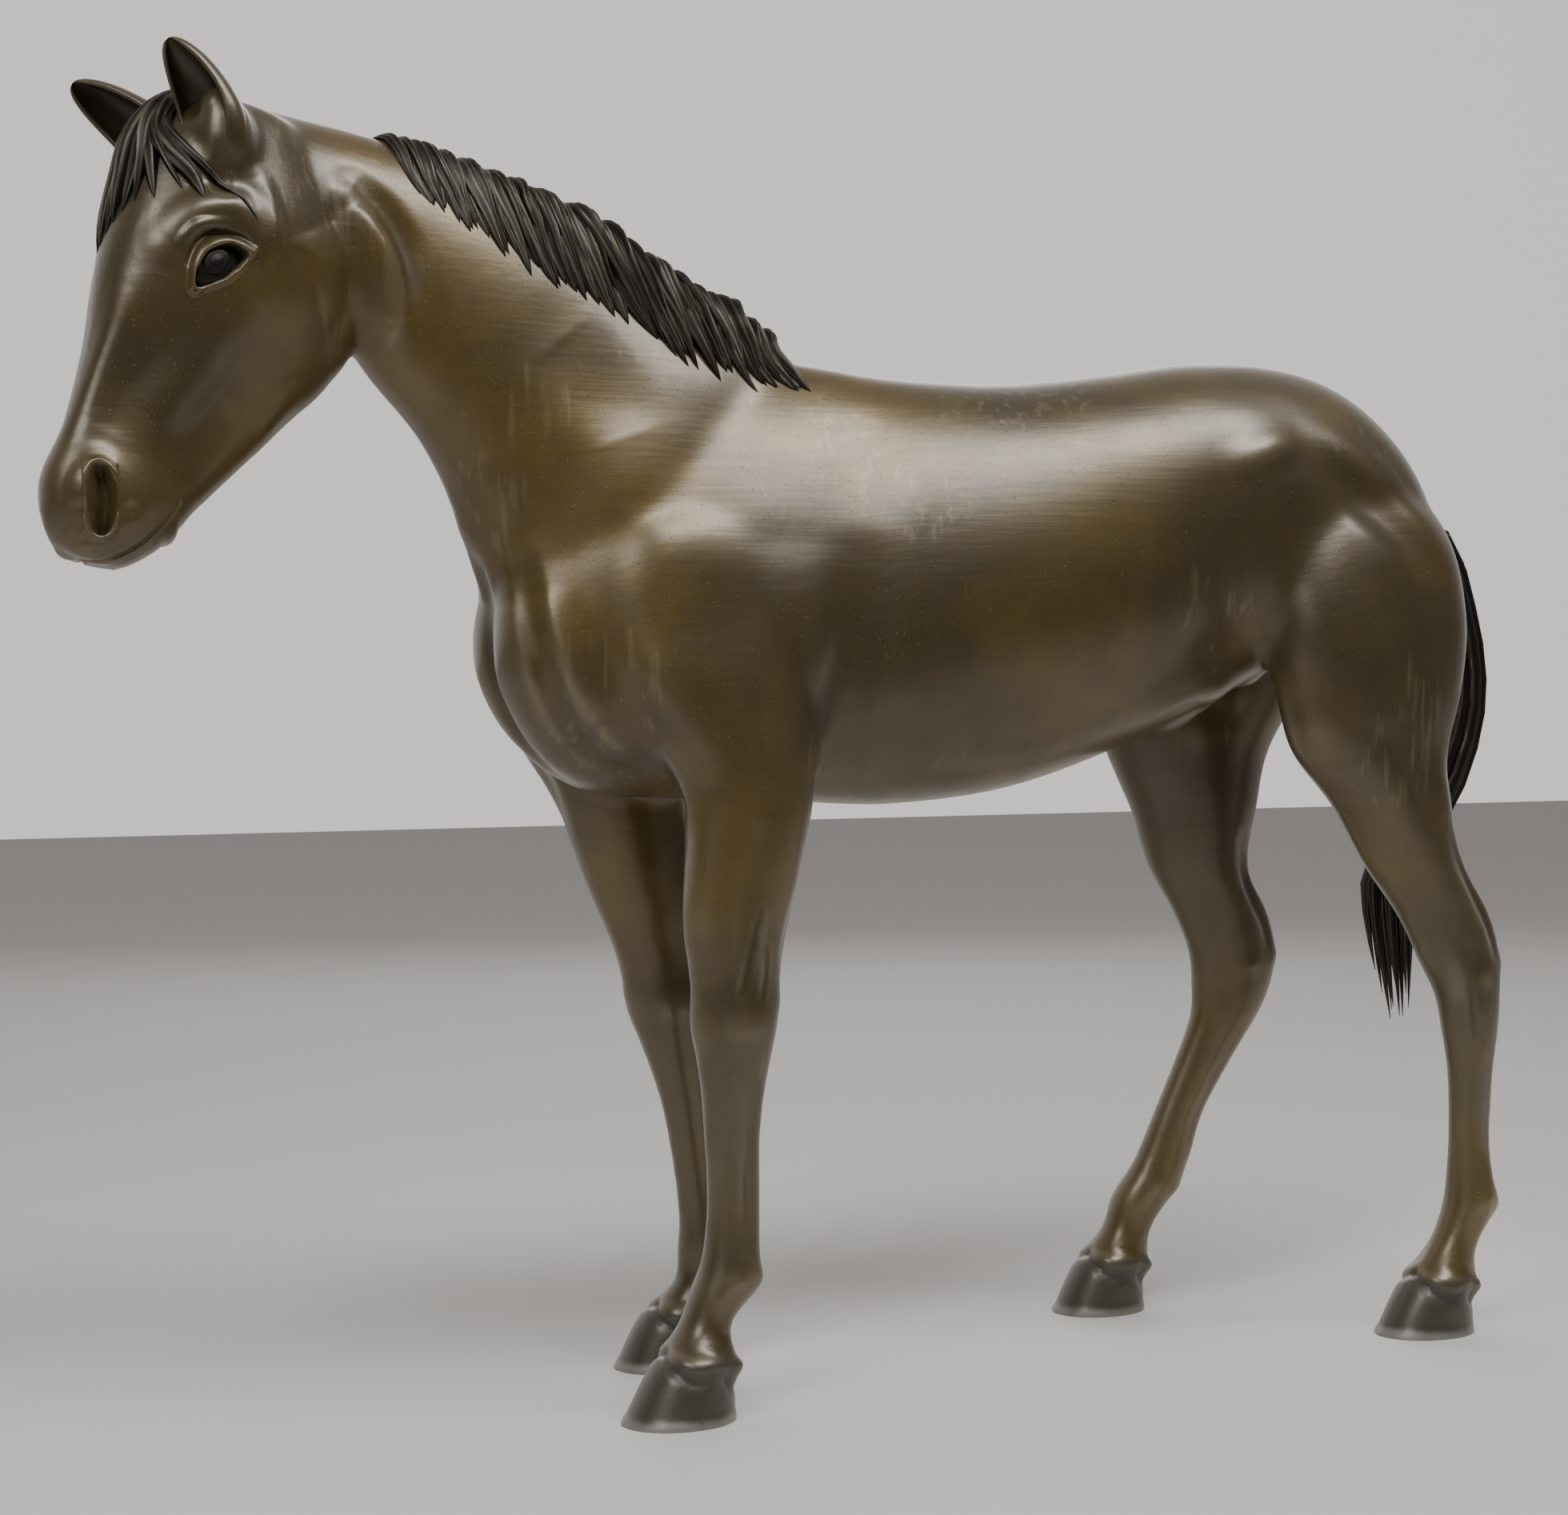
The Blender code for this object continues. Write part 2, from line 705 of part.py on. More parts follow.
def hair_pieces(skin_cutter, ears):
    """The two halves of the mane, and the forelock between the ears."""
    neck = neck_rings()
    front_root = [(5.0 - 0.4 * step, 0) for step in range(6)]
    rear_root = [(3.4 - 0.4 * step, 0) for step in range(6)]
    front = hair("mane_front", neck, FRONT_LOCKS, front_root, skin_cutter)
    rear = hair("mane_rear", neck, REAR_LOCKS, rear_root, skin_cutter)
    ahead = half_space("ahead", MANE_SEAM, 1, SEAM)
    behind = half_space("behind", MANE_SEAM, -1, SEAM)
    combine(front, ahead, "INTERSECT")
    combine(rear, behind, "INTERSECT")
    remove(ahead, behind)
    forelock = hair("forelock", head_rings(), FORELOCKS, FORELOCK_ROOT, skin_cutter)
    for one_ear in ears:
        ear_cutter = copy_of(one_ear, "ear_cutter")
        inflate(ear_cutter, SEAM)
        combine(forelock, ear_cutter, "DIFFERENCE")
        remove(ear_cutter)


def inflate(shape, distance):
    """Pushes a shape's skin out along its normals."""
    displace = shape.modifiers.new("Displace", "DISPLACE")
    displace.strength = distance
    displace.mid_level = 0.0
    apply_modifiers(shape)


def centre_on_floor():
    """Stands the horse on z = 0 with its overall box centred on the origin."""
    pieces = [piece for piece in bpy.data.objects if piece.type == "MESH"]
    corners = [piece.matrix_world @ vertex.co for piece in pieces for vertex in piece.data.vertices]
    low = Vector(min(corner[axis] for corner in corners) for axis in range(3))
    high = Vector(max(corner[axis] for corner in corners) for axis in range(3))
    middle = (low + high) / 2
    for piece in pieces:
        piece.location -= Vector((middle.x, middle.y, low.z))


def main():
    """Builds the whole horse."""
    for old in list(bpy.data.objects):
        bpy.data.objects.remove(old)
    skin = fuse("skin", body_shapes(0.0), SKIN_GRAIN, SKIN_SMOOTHING, SKIN_TRIANGLES)
    core = fuse("core", body_shapes(WALL, SOLID_LEG_HEIGHT / UP, 8), CORE_GRAIN, 2, CORE_TRIANGLES)
    skin_cutter = copy_of(skin, "skin_cutter")
    inflate(skin_cutter, SEAM)
    trunk_castings(skin, core)
    neck_and_head(skin, core)
    for side, left in (("left", True), ("right", False)):
        leg(f"foreleg_{side}", skin, core, True, left)
        leg(f"hindleg_{side}", skin, core, False, left)
    collars(core)
    ears = [
        ear("ear_left", EAR_LEFT, skin_cutter),
        ear("ear_right", EAR_RIGHT, skin_cutter),
    ]
    hair_pieces(skin_cutter, ears)
    tail(skin_cutter)
    remove(skin, core, skin_cutter)
    centre_on_floor()


main()
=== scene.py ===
"""The looks of a standing bronze horse, built round its packed castings.

The horse's skin is drawn as oval stations along its trunk, neck, head and legs.
They are melted into one surface, modelled with soft strokes as a sculptor works
clay, and cut at the weld seams into one piece for each casting. The hair is laid
on as ridged locks. Drawn lengths are millimetres on a horse 420 mm tall at the
withers. The horse faces -X and its left side is towards -Y.
"""

import json
import logging
import math
from collections.abc import Iterator, Sequence
from contextlib import contextmanager
from dataclasses import dataclass, field
from enum import Enum
from typing import ClassVar

import bpy
import numpy as np
from mathutils import Matrix, Vector


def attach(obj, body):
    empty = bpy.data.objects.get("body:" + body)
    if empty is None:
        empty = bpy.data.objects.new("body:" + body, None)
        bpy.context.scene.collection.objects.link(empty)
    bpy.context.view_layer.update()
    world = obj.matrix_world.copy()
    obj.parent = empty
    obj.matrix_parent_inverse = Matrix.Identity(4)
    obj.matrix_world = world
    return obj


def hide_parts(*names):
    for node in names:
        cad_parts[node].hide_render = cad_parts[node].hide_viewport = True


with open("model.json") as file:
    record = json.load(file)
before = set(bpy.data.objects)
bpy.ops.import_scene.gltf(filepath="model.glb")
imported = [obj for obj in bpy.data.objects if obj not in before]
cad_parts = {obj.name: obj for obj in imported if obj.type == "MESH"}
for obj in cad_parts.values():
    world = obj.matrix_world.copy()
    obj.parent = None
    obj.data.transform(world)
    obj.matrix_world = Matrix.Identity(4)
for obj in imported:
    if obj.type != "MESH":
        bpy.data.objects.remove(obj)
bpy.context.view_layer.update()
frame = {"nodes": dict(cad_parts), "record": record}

BODY = "root"
MM = 0.001
log = logging.getLogger("bronze_horse")

Triple = tuple[float, float, float]
Pair = tuple[float, float]


# ---------------------------------------------------------------- drawing frame


@dataclass(frozen=True)
class Drawing:
    """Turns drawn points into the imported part's frame.

    Args:
        shift: Where the drawing's origin lies in the part's frame, in metres.
        size: Metres for one drawn millimetre.
    """

    shift: Vector
    size: float = MM

    @classmethod
    def from_record(cls, record: dict) -> "Drawing":
        """Finds the drawing's origin from where the left fore sole rests.

        Args:
            record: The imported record, with its mounts.

        Returns:
            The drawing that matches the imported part.
        """
        drawn_sole = Vector((-144.0, -47.0, 0.0)) * MM
        soles = {mount["name"]: mount["pos_m"] for mount in record["mounts"]}
        return cls(Vector(soles["foreleg_left_sole"]) - drawn_sole)

    def place(self, x: float, y: float, z: float) -> Vector:
        """The drawn point (x, y, z) in the part's frame."""
        return self.shift + Vector((x, y, z)) * self.size

    def drawn(self, points: np.ndarray) -> np.ndarray:
        """Points of the part's frame, back in drawn millimetres."""
        return (points - np.array(self.shift)) / self.size


DRAWING = Drawing.from_record(frame["record"])


# ------------------------------------------------------------------ mesh helpers


def deselect() -> None:
    """Leaves nothing selected."""
    bpy.ops.object.select_all(action="DESELECT")


def activate(piece: bpy.types.Object) -> None:
    """Selects one object alone and makes it active."""
    deselect()
    piece.select_set(True)
    bpy.context.view_layer.objects.active = piece


def new_piece(name: str, points: np.ndarray, faces: Sequence[Sequence[int]]) -> bpy.types.Object:
    """Makes a mesh object at the origin.

    Args:
        name: The piece's name.
        points: Its vertices, in metres.
        faces: Its faces, as vertex numbers.

    Returns:
        The new object.
    """
    mesh = bpy.data.meshes.new(name)
    mesh.from_pydata([tuple(point) for point in points], [], faces)
    mesh.validate()
    piece = bpy.data.objects.new(name, mesh)
    bpy.context.scene.collection.objects.link(piece)
    return piece


@contextmanager
def editing(piece: bpy.types.Object) -> Iterator[None]:
    """Holds one piece in edit mode.

    Args:
        piece: The piece.

    Returns:
        A context that goes back to object mode at its end.
    """
    activate(piece)
    bpy.ops.object.mode_set(mode="EDIT")
    yield
    bpy.ops.object.mode_set(mode="OBJECT")


def face_outward(piece: bpy.types.Object) -> None:
    """Turns a closed shape's faces outward.

    Args:
        piece: The closed shape.
    """
    with editing(piece):
        bpy.ops.mesh.select_all(action="SELECT")
        bpy.ops.mesh.normals_make_consistent(inside=False)


def cut(piece: bpy.types.Object, place: Sequence[float], facing: Triple, keep_ahead: bool) -> None:
    """Cuts a piece at a plane and closes the cut.

    Args:
        piece: The piece to cut.
        place: A point on the plane, in metres.
        facing: The way that the plane faces.
        keep_ahead: Whether the part that the plane faces is kept.
    """
    with editing(piece):
        bpy.ops.mesh.select_all(action="SELECT")
        bpy.ops.mesh.bisect(
            plane_co=place,
            plane_no=facing,
            use_fill=True,
            clear_inner=keep_ahead,
            clear_outer=not keep_ahead,
        )


def join(pieces: Sequence[bpy.types.Object], name: str) -> bpy.types.Object:
    """Joins pieces into one object.

    Args:
        pieces: The pieces, whose first one is kept.
        name: The joined object's name.

    Returns:
        The joined object.
    """
    activate(pieces[0])
    for piece in pieces:
        piece.select_set(True)
    if len(pieces) > 1:
        bpy.ops.object.join()
    joined = bpy.context.view_layer.objects.active
    joined.name = name
    joined.data.name = name
    return joined


def apply_modifier(piece: bpy.types.Object, kind: str, **settings: object) -> None:
    """Adds a modifier with its settings and applies it.

    Args:
        piece: The object to change.
        kind: The modifier's type, such as REMESH.
        settings: The modifier's settings by name.
    """
    activate(piece)
    modifier = piece.modifiers.new(kind.title(), kind)
    for key, value in settings.items():
        setattr(modifier, key, value)
    bpy.ops.object.modifier_apply(modifier=modifier.name)


def coordinates(mesh: bpy.types.Mesh) -> np.ndarray:
    """Reads a mesh's vertices.

    Args:
        mesh: The mesh.

    Returns:
        Their places, one row each.
    """
    flat = np.empty(len(mesh.vertices) * 3, np.float32)
    mesh.vertices.foreach_get("co", flat)
    return flat.reshape(-1, 3).astype(float)


def set_coordinates(mesh: bpy.types.Mesh, points: np.ndarray) -> None:
    """Moves a mesh's vertices to new points."""
    mesh.vertices.foreach_set("co", points.astype(np.float32).ravel())
    mesh.update()


def vertex_normals(mesh: bpy.types.Mesh) -> np.ndarray:
    """Reads a mesh's vertex normals.

    Args:
        mesh: The mesh.

    Returns:
        The normals, one row each.
    """
    flat = np.empty(len(mesh.vertices) * 3, np.float32)
    mesh.vertex_normals.foreach_get("vector", flat)
    return flat.reshape(-1, 3).astype(float)


def smoothstep(low: float, high: float, values: np.ndarray) -> np.ndarray:
    """An eased ramp from 0 at low to 1 at high."""
    t = np.clip((values - low) / (high - low), 0.0, 1.0)
    return t * t * (3.0 - 2.0 * t)


# ----------------------------------------------------------------- oval stations


@dataclass(frozen=True)
class Ring:
    """One oval section of a tube, in drawn millimetres.

    Args:
        centre: Its middle.
        up: The half axis towards the crest, the brow or the front of a leg.
        side: The half axis across it.
        taper: How much wider it is towards up, as a share, or narrower below 0.
    """

    centre: Vector
    up: Vector
    side: Vector
    taper: float = 0.0

    def point(self, angle: float, lift: float = 0.0) -> Vector:
        """A point round the ring.

        Args:
            angle: The angle from up, in radians, towards side.
            lift: How far outside the ring the point is.

        Returns:
            The drawn point.
        """
        width = 1.0 + self.taper * math.cos(angle)
        offset = self.up * math.cos(angle) + self.side * (math.sin(angle) * width)
        return self.centre + offset + offset.normalized() * lift


def grown(radius: float, melt: float = 9.0) -> float:
    """A drawn radius with what melting will take off it added."""
    return radius + melt / radius


def blended(a: object, b: object, c: object, d: object, t: float) -> object:
    """Blends numbers or vectors smoothly, as a Catmull-Rom curve does.

    Args:
        a: The one before.
        b: The one at 0.
        c: The one at 1.
        d: The one after.
        t: The place, from 0 to 1.

    Returns:
        The blend.
    """
    straight = (c - a) * t
    square = (a * 2 - b * 5 + c * 4 - d) * t**2
    cube = (b * 3 - a - c * 3 + d) * t**3
    return b + (straight + square + cube) * 0.5


@dataclass(frozen=True)
class Tube:
    """A run of rings with a smooth surface through them."""

    rings: tuple[Ring, ...]

    def at(self, position: float) -> Ring:
        """Blends the ring at a place along the stations.

        Args:
            position: The place, where 0 is the first station and 1 the second.

        Returns:
            The blended ring.
        """
        last = len(self.rings) - 1
        index = min(max(int(position), 0), last - 1)
        picks = [self.rings[min(max(index + step, 0), last)] for step in (-1, 0, 1, 2)]
        t = position - index
        return Ring(
            blended(*(ring.centre for ring in picks), t),
            blended(*(ring.up for ring in picks), t),
            blended(*(ring.side for ring in picks), t),
            blended(*(ring.taper for ring in picks), t),
        )

    def skin(self, name: str, steps: int = 5, around: int = 48) -> bpy.types.Object:
        """Lofts a closed skin over the rings.

        Args:
            name: The object's name.
            steps: Rows for each gap between stations.
            around: Points round each row.

        Returns:
            The lofted object.
        """
        rows = [self.at(step / steps) for step in range((len(self.rings) - 1) * steps + 1)]
        turns = [math.tau * step / around for step in range(around)]
        points = [DRAWING.place(*ring.point(turn)) for ring in rows for turn in turns]
        piece = new_piece(name, np.array(points), tube_faces(len(rows), around))
        face_outward(piece)
        return piece


def tube_faces(rows: int, around: int) -> list[tuple[int, ...]]:
    """The faces of a closed tube.

    Args:
        rows: How many rings of points it has.
        around: How many points each ring has.

    Returns:
        Its side faces and its two ends.
    """
    faces: list[tuple[int, ...]] = []
    for row in range(rows - 1):
        for step in range(around):
            a = row * around + step
            b = row * around + (step + 1) % around
            faces.append((a, b, b + around, a + around))
    faces.append(tuple(reversed(range(around))))
    faces.append(tuple(range((rows - 1) * around, rows * around)))
    return faces


# --------------------------------------------------------------------- sculpting


@dataclass
class Clay:
    """A mesh held as arrays, in drawn millimetres, so that strokes can move it.

    Args:
        mesh: The mesh that the arrays are written back to.
    """

    OUTSIDE: ClassVar[float] = 9.0
    GRAZING: ClassVar[float] = 0.35
    END_DEPTH: ClassVar[float] = 0.3
    LIP_REACH: ClassVar[float] = 2.2

    mesh: bpy.types.Mesh
    points: np.ndarray = field(init=False)
    normals: np.ndarray = field(init=False)

    def __post_init__(self) -> None:
        """Reads the mesh."""
        self.points = DRAWING.drawn(coordinates(self.mesh))
        self.normals = vertex_normals(self.mesh)
        edges = np.empty(len(self.mesh.edges) * 2, np.int32)
        self.mesh.edges.foreach_get("vertices", edges)
        self._ends = edges.reshape(-1, 2)

    def write(self) -> None:
        """Writes the moved points to the mesh and reads its new normals."""
        set_coordinates(self.mesh, self.points * DRAWING.size + np.array(DRAWING.shift))
        self.normals = vertex_normals(self.mesh)

    def neighbour_mean(self, values: np.ndarray) -> np.ndarray:
        """Averages each vertex's neighbours.

        Args:
            values: One row for each vertex.

        Returns:
            The neighbours' mean, one row for each vertex.
        """
        columns = values.reshape(len(values), -1)
        near = np.concatenate((self._ends[:, 0], self._ends[:, 1]))
        far = np.concatenate((self._ends[:, 1], self._ends[:, 0]))
        count = np.maximum(np.bincount(near, minlength=len(values)), 1)
        sums = [np.bincount(near, column[far], len(values)) / count for column in columns.T]
        return np.stack(sums, axis=1).reshape(values.shape)

    def relax(self, rounds: int, share: float = 0.5, mask: np.ndarray | None = None) -> None:
        """Smooths the surface.

        Args:
            rounds: How many times.
            share: How far each vertex goes to its neighbours' mean.
            mask: How much each vertex may move, from 0 to 1.
        """
        weight = share if mask is None else share * mask[:, None]
        for _ in range(rounds):
            self.points += (self.neighbour_mean(self.points) - self.points) * weight
        self.write()

    def reach(
        self, path: Sequence[Vector], radii: Sequence[float]
    ) -> tuple[np.ndarray, np.ndarray]:
        """How near each vertex is to a path.

        Args:
            path: The path's points.
            radii: The reach at each point.

        Returns:
            The distance as a share of the reach, 1 or more outside it, and the share
            of the way along the path.
        """
        share = np.full(len(self.points), self.OUTSIDE)
        place = np.zeros(len(self.points))
        line = np.array([tuple(point) for point in path])
        widest = max(radii)
        inside = np.all(self.points > line.min(0) - widest, axis=1)
        inside &= np.all(self.points < line.max(0) + widest, axis=1)
        picked = np.flatnonzero(inside)
        points = self.points[picked]
        best = np.full(len(picked), self.OUTSIDE)
        where = np.zeros(len(picked))
        steps = max(len(line) - 1, 1)
        for index in range(steps):
            start = line[index]
            end = line[min(index + 1, len(line) - 1)]
            along = end - start
            t = np.clip((points - start) @ along / max(float(along @ along), 1e-9), 0.0, 1.0)
            gap = np.linalg.norm(points - start - t[:, None] * along, axis=1)
            last = radii[min(index + 1, len(radii) - 1)]
            near = gap / (radii[index] + (last - radii[index]) * t)
            closer = near < best
            best[closer] = near[closer]
            where[closer] = (index + t[closer]) / steps
        share[picked] = best
        place[picked] = where
        return share, place

    def stroke(self, path: Sequence[Vector], width: float, depth: float, taper: bool = True) -> None:
        """Raises or presses the surface along a path.

        Args:
            path: Points on or near the surface.
            width: The stroke's half width.
            depth: How far it raises the surface, or presses it below 0.
            taper: Whether the stroke fades to its ends.
        """
        curve = through(path)
        share, place = self.reach(curve, [width] * len(curve))
        near = share < 1.0
        middle = np.array(tuple(curve[len(curve) // 2]))
        facing = self.normals[np.argmin(np.linalg.norm(self.points - middle, axis=1))]
        seen, fade = 1.0, 1.0
        if taper:
            seen = smoothstep(-self.GRAZING, self.GRAZING, self.normals[near] @ facing)
        if taper and len(curve) > 1:
            fade = self.END_DEPTH + (1.0 - self.END_DEPTH) * np.sin(np.pi * place[near])
        push = depth * seen * fade * (1.0 - share[near] ** 2) ** 2
        self.points[near] += self.normals[near] * np.reshape(push, (-1, 1))

    def crease(self, path: Sequence[Vector], width: float, depth: float, lip: float = 0.35) -> None:
        """Cuts a groove with a soft raised lip on each side.

        Args:
            path: Points along the groove.
            width: The groove's half width.
            depth: How deep it is.
            lip: The height of the lips, as a share of the depth.
        """
        self.stroke(path, width * self.LIP_REACH, depth * lip)
        self.stroke(path, width, -depth * (1.0 + lip))

    def nearest(self, point: Vector) -> Vector:
        """The vertex nearest to a drawn point."""
        gaps = np.linalg.norm(self.points - np.array(tuple(point)), axis=1)
        return Vector(self.points[int(np.argmin(gaps))])

    def around(self, point: Vector, radius: float) -> np.ndarray:
        """Which vertices lie within a radius of a drawn point."""
        return np.linalg.norm(self.points - np.array(tuple(point)), axis=1) < radius

    def pin(self, x: float, z: float, side: int) -> Vector:
        """The outermost point of the skin at a drawn x and z.

        Args:
            x: The drawn x.
            z: The drawn z.
            side: -1 for the left side or 1 for the right side.

        Returns:
            The point on the skin.
        """
        gap = np.hypot(self.points[:, 0] - x, self.points[:, 2] - z)
        least, slack = 4.0, 2.0
        near = np.flatnonzero(gap < max(least, float(gap.min()) + slack))
        outermost = near[np.argmax(self.points[near, 1] * side)]
        return Vector((x, float(self.points[outermost, 1]), z))


def through(path: Sequence[Vector], steps: int = 5) -> list[Vector]:
    """A smooth run of points through a path.

    Args:
        path: The path's own points.
        steps: New points for each stretch.

    Returns:
        The finer path.
    """
    last = len(path) - 1
    if last < 2:
        return list(path)
    curve = []
    for index in range(last):
        picks = [path[min(max(index + step, 0), last)] for step in (-1, 0, 1, 2)]
        curve += [blended(*picks, step / steps) for step in range(steps)]
    return curve + [path[last]]


# ------------------------------------------------------------------ shader nodes


@dataclass(frozen=True)
class Value:
    """A number socket whose arithmetic adds Math nodes."""

    shader: "Shader"
    socket: bpy.types.NodeSocket

    def _math(self, operation: str, first: object, second: object = 0.0) -> "Value":
        """Adds one Math node."""
        return self.shader.node("ShaderNodeMath", {"operation": operation}, {0: first, 1: second})

    def __add__(self, other: object) -> "Value":
        """This plus another."""
        return self._math("ADD", self, other)

    __radd__ = __add__

    def __mul__(self, other: object) -> "Value":
        """This times another."""
        return self._math("MULTIPLY", self, other)

    __rmul__ = __mul__

    def __sub__(self, other: object) -> "Value":
        """This less another."""
        return self._math("SUBTRACT", self, other)

    def __rsub__(self, other: object) -> "Value":
        """Another less this."""
        return self._math("SUBTRACT", other, self)

    def ramp(self, low: float, high: float) -> "Value":
        """An eased ramp from 0 at low to 1 at high."""
        settings = {"interpolation_type": "SMOOTHSTEP"}
        sockets = {"Value": self, "From Min": low, "From Max": high}
        return self.shader.node("ShaderNodeMapRange", settings, sockets)


class Shader:
    """Builds one material from nodes.

    Args:
        name: The material's name.
    """

    def __init__(self, name: str) -> None:
        """Starts an empty material with a Principled shader."""
        self.material = bpy.data.materials.new(name)
        self.material.use_nodes = True
        self.tree = self.material.node_tree
        self.surface = self.tree.nodes["Principled BSDF"]
        self.object_place = self.tree.nodes.new("ShaderNodeTexCoord").outputs["Object"]

    def node(self, kind: str, settings: dict, sockets: dict, output: int | str = 0) -> Value:
        """Adds a node.

        Args:
            kind: The node's type.
            settings: Its settings by name, set before its sockets.
            sockets: Values or links for its sockets.
            output: Which output to return.

        Returns:
            The output as a value.
        """
        made = self.tree.nodes.new(kind)
        for key, setting in settings.items():
            setattr(made, key, setting)
        for key, given in sockets.items():
            self.feed(made.inputs[key], given)
        return Value(self, made.outputs[output])

    def feed(self, socket: bpy.types.NodeSocket, given: object) -> None:
        """Links a socket to a value, or sets it to a constant.

        Args:
            socket: The socket.
            given: A value, another node's socket or a constant.
        """
        if isinstance(given, Value):
            self.tree.links.new(given.socket, socket)
        elif isinstance(given, bpy.types.NodeSocket):
            self.tree.links.new(given, socket)
        else:
            socket.default_value = given

    def noise(
        self, scale: float, detail: float, stretch: Triple = (1.0, 1.0, 1.0), turn: float = 0.0
    ) -> Value:
        """Noise over the object.

        Args:
            scale: Its spots per metre.
            detail: How many finer layers it has.
            stretch: How far it is squeezed along each axis.
            turn: How far it is turned about Y, in radians.

        Returns:
            The noise, from about 0 to 1.
        """
        mapping = {"Vector": self.object_place, "Scale": stretch, "Rotation": (0.0, turn, 0.0)}
        place = self.node("ShaderNodeMapping", {}, mapping)
        sockets = {"Vector": place, "Scale": scale, "Detail": detail}
        return self.node("ShaderNodeTexNoise", {}, sockets, "Fac")

    def attribute(self, name: str) -> Value:
        """A number that the piece holds at each vertex."""
        return self.node("ShaderNodeAttribute", {"attribute_name": name}, {}, "Fac")

    def mix(self, share: object, first: object, second: object) -> Value:
        """Mixes two colours.

        Args:
            share: How much of the second there is, from 0 to 1.
            first: The colour at 0.
            second: The colour at 1.

        Returns:
            The mixed colour.
        """
        made = self.tree.nodes.new("ShaderNodeMix")
        made.data_type = "RGBA"
        self.feed(made.inputs[0], share)
        self.feed(made.inputs[6], first)
        self.feed(made.inputs[7], second)
        return Value(self, made.outputs[2])

    def bump(self, height: Value, distance: float, strength: float) -> None:
        """Puts fine relief, of a depth in metres, on the surface."""
        sockets = {"Strength": strength, "Distance": distance, "Height": height}
        self.feed(self.surface.inputs["Normal"], self.node("ShaderNodeBump", {}, sockets, "Normal"))

    def finish(self, **sockets: object) -> bpy.types.Material:
        """Sets the surface's sockets.

        Args:
            sockets: Values or constants by the socket's name, with underscores.

        Returns:
            The material.
        """
        for name, given in sockets.items():
            self.feed(self.surface.inputs[name.replace("_", " ").title()], given)
        return self.material


def linear(red: int, green: int, blue: int) -> tuple[float, float, float, float]:
    """Turns a display colour into linear light.

    Args:
        red: Its red, from 0 to 255.
        green: Its green.
        blue: Its blue.

    Returns:
        The linear colour, with an alpha of 1.
    """
    channels = []
    for channel in (red, green, blue):
        share = channel / 255
        channels.append(share / 12.92 if share <= 0.04045 else ((share + 0.055) / 1.055) ** 2.4)
    return (*channels, 1.0)


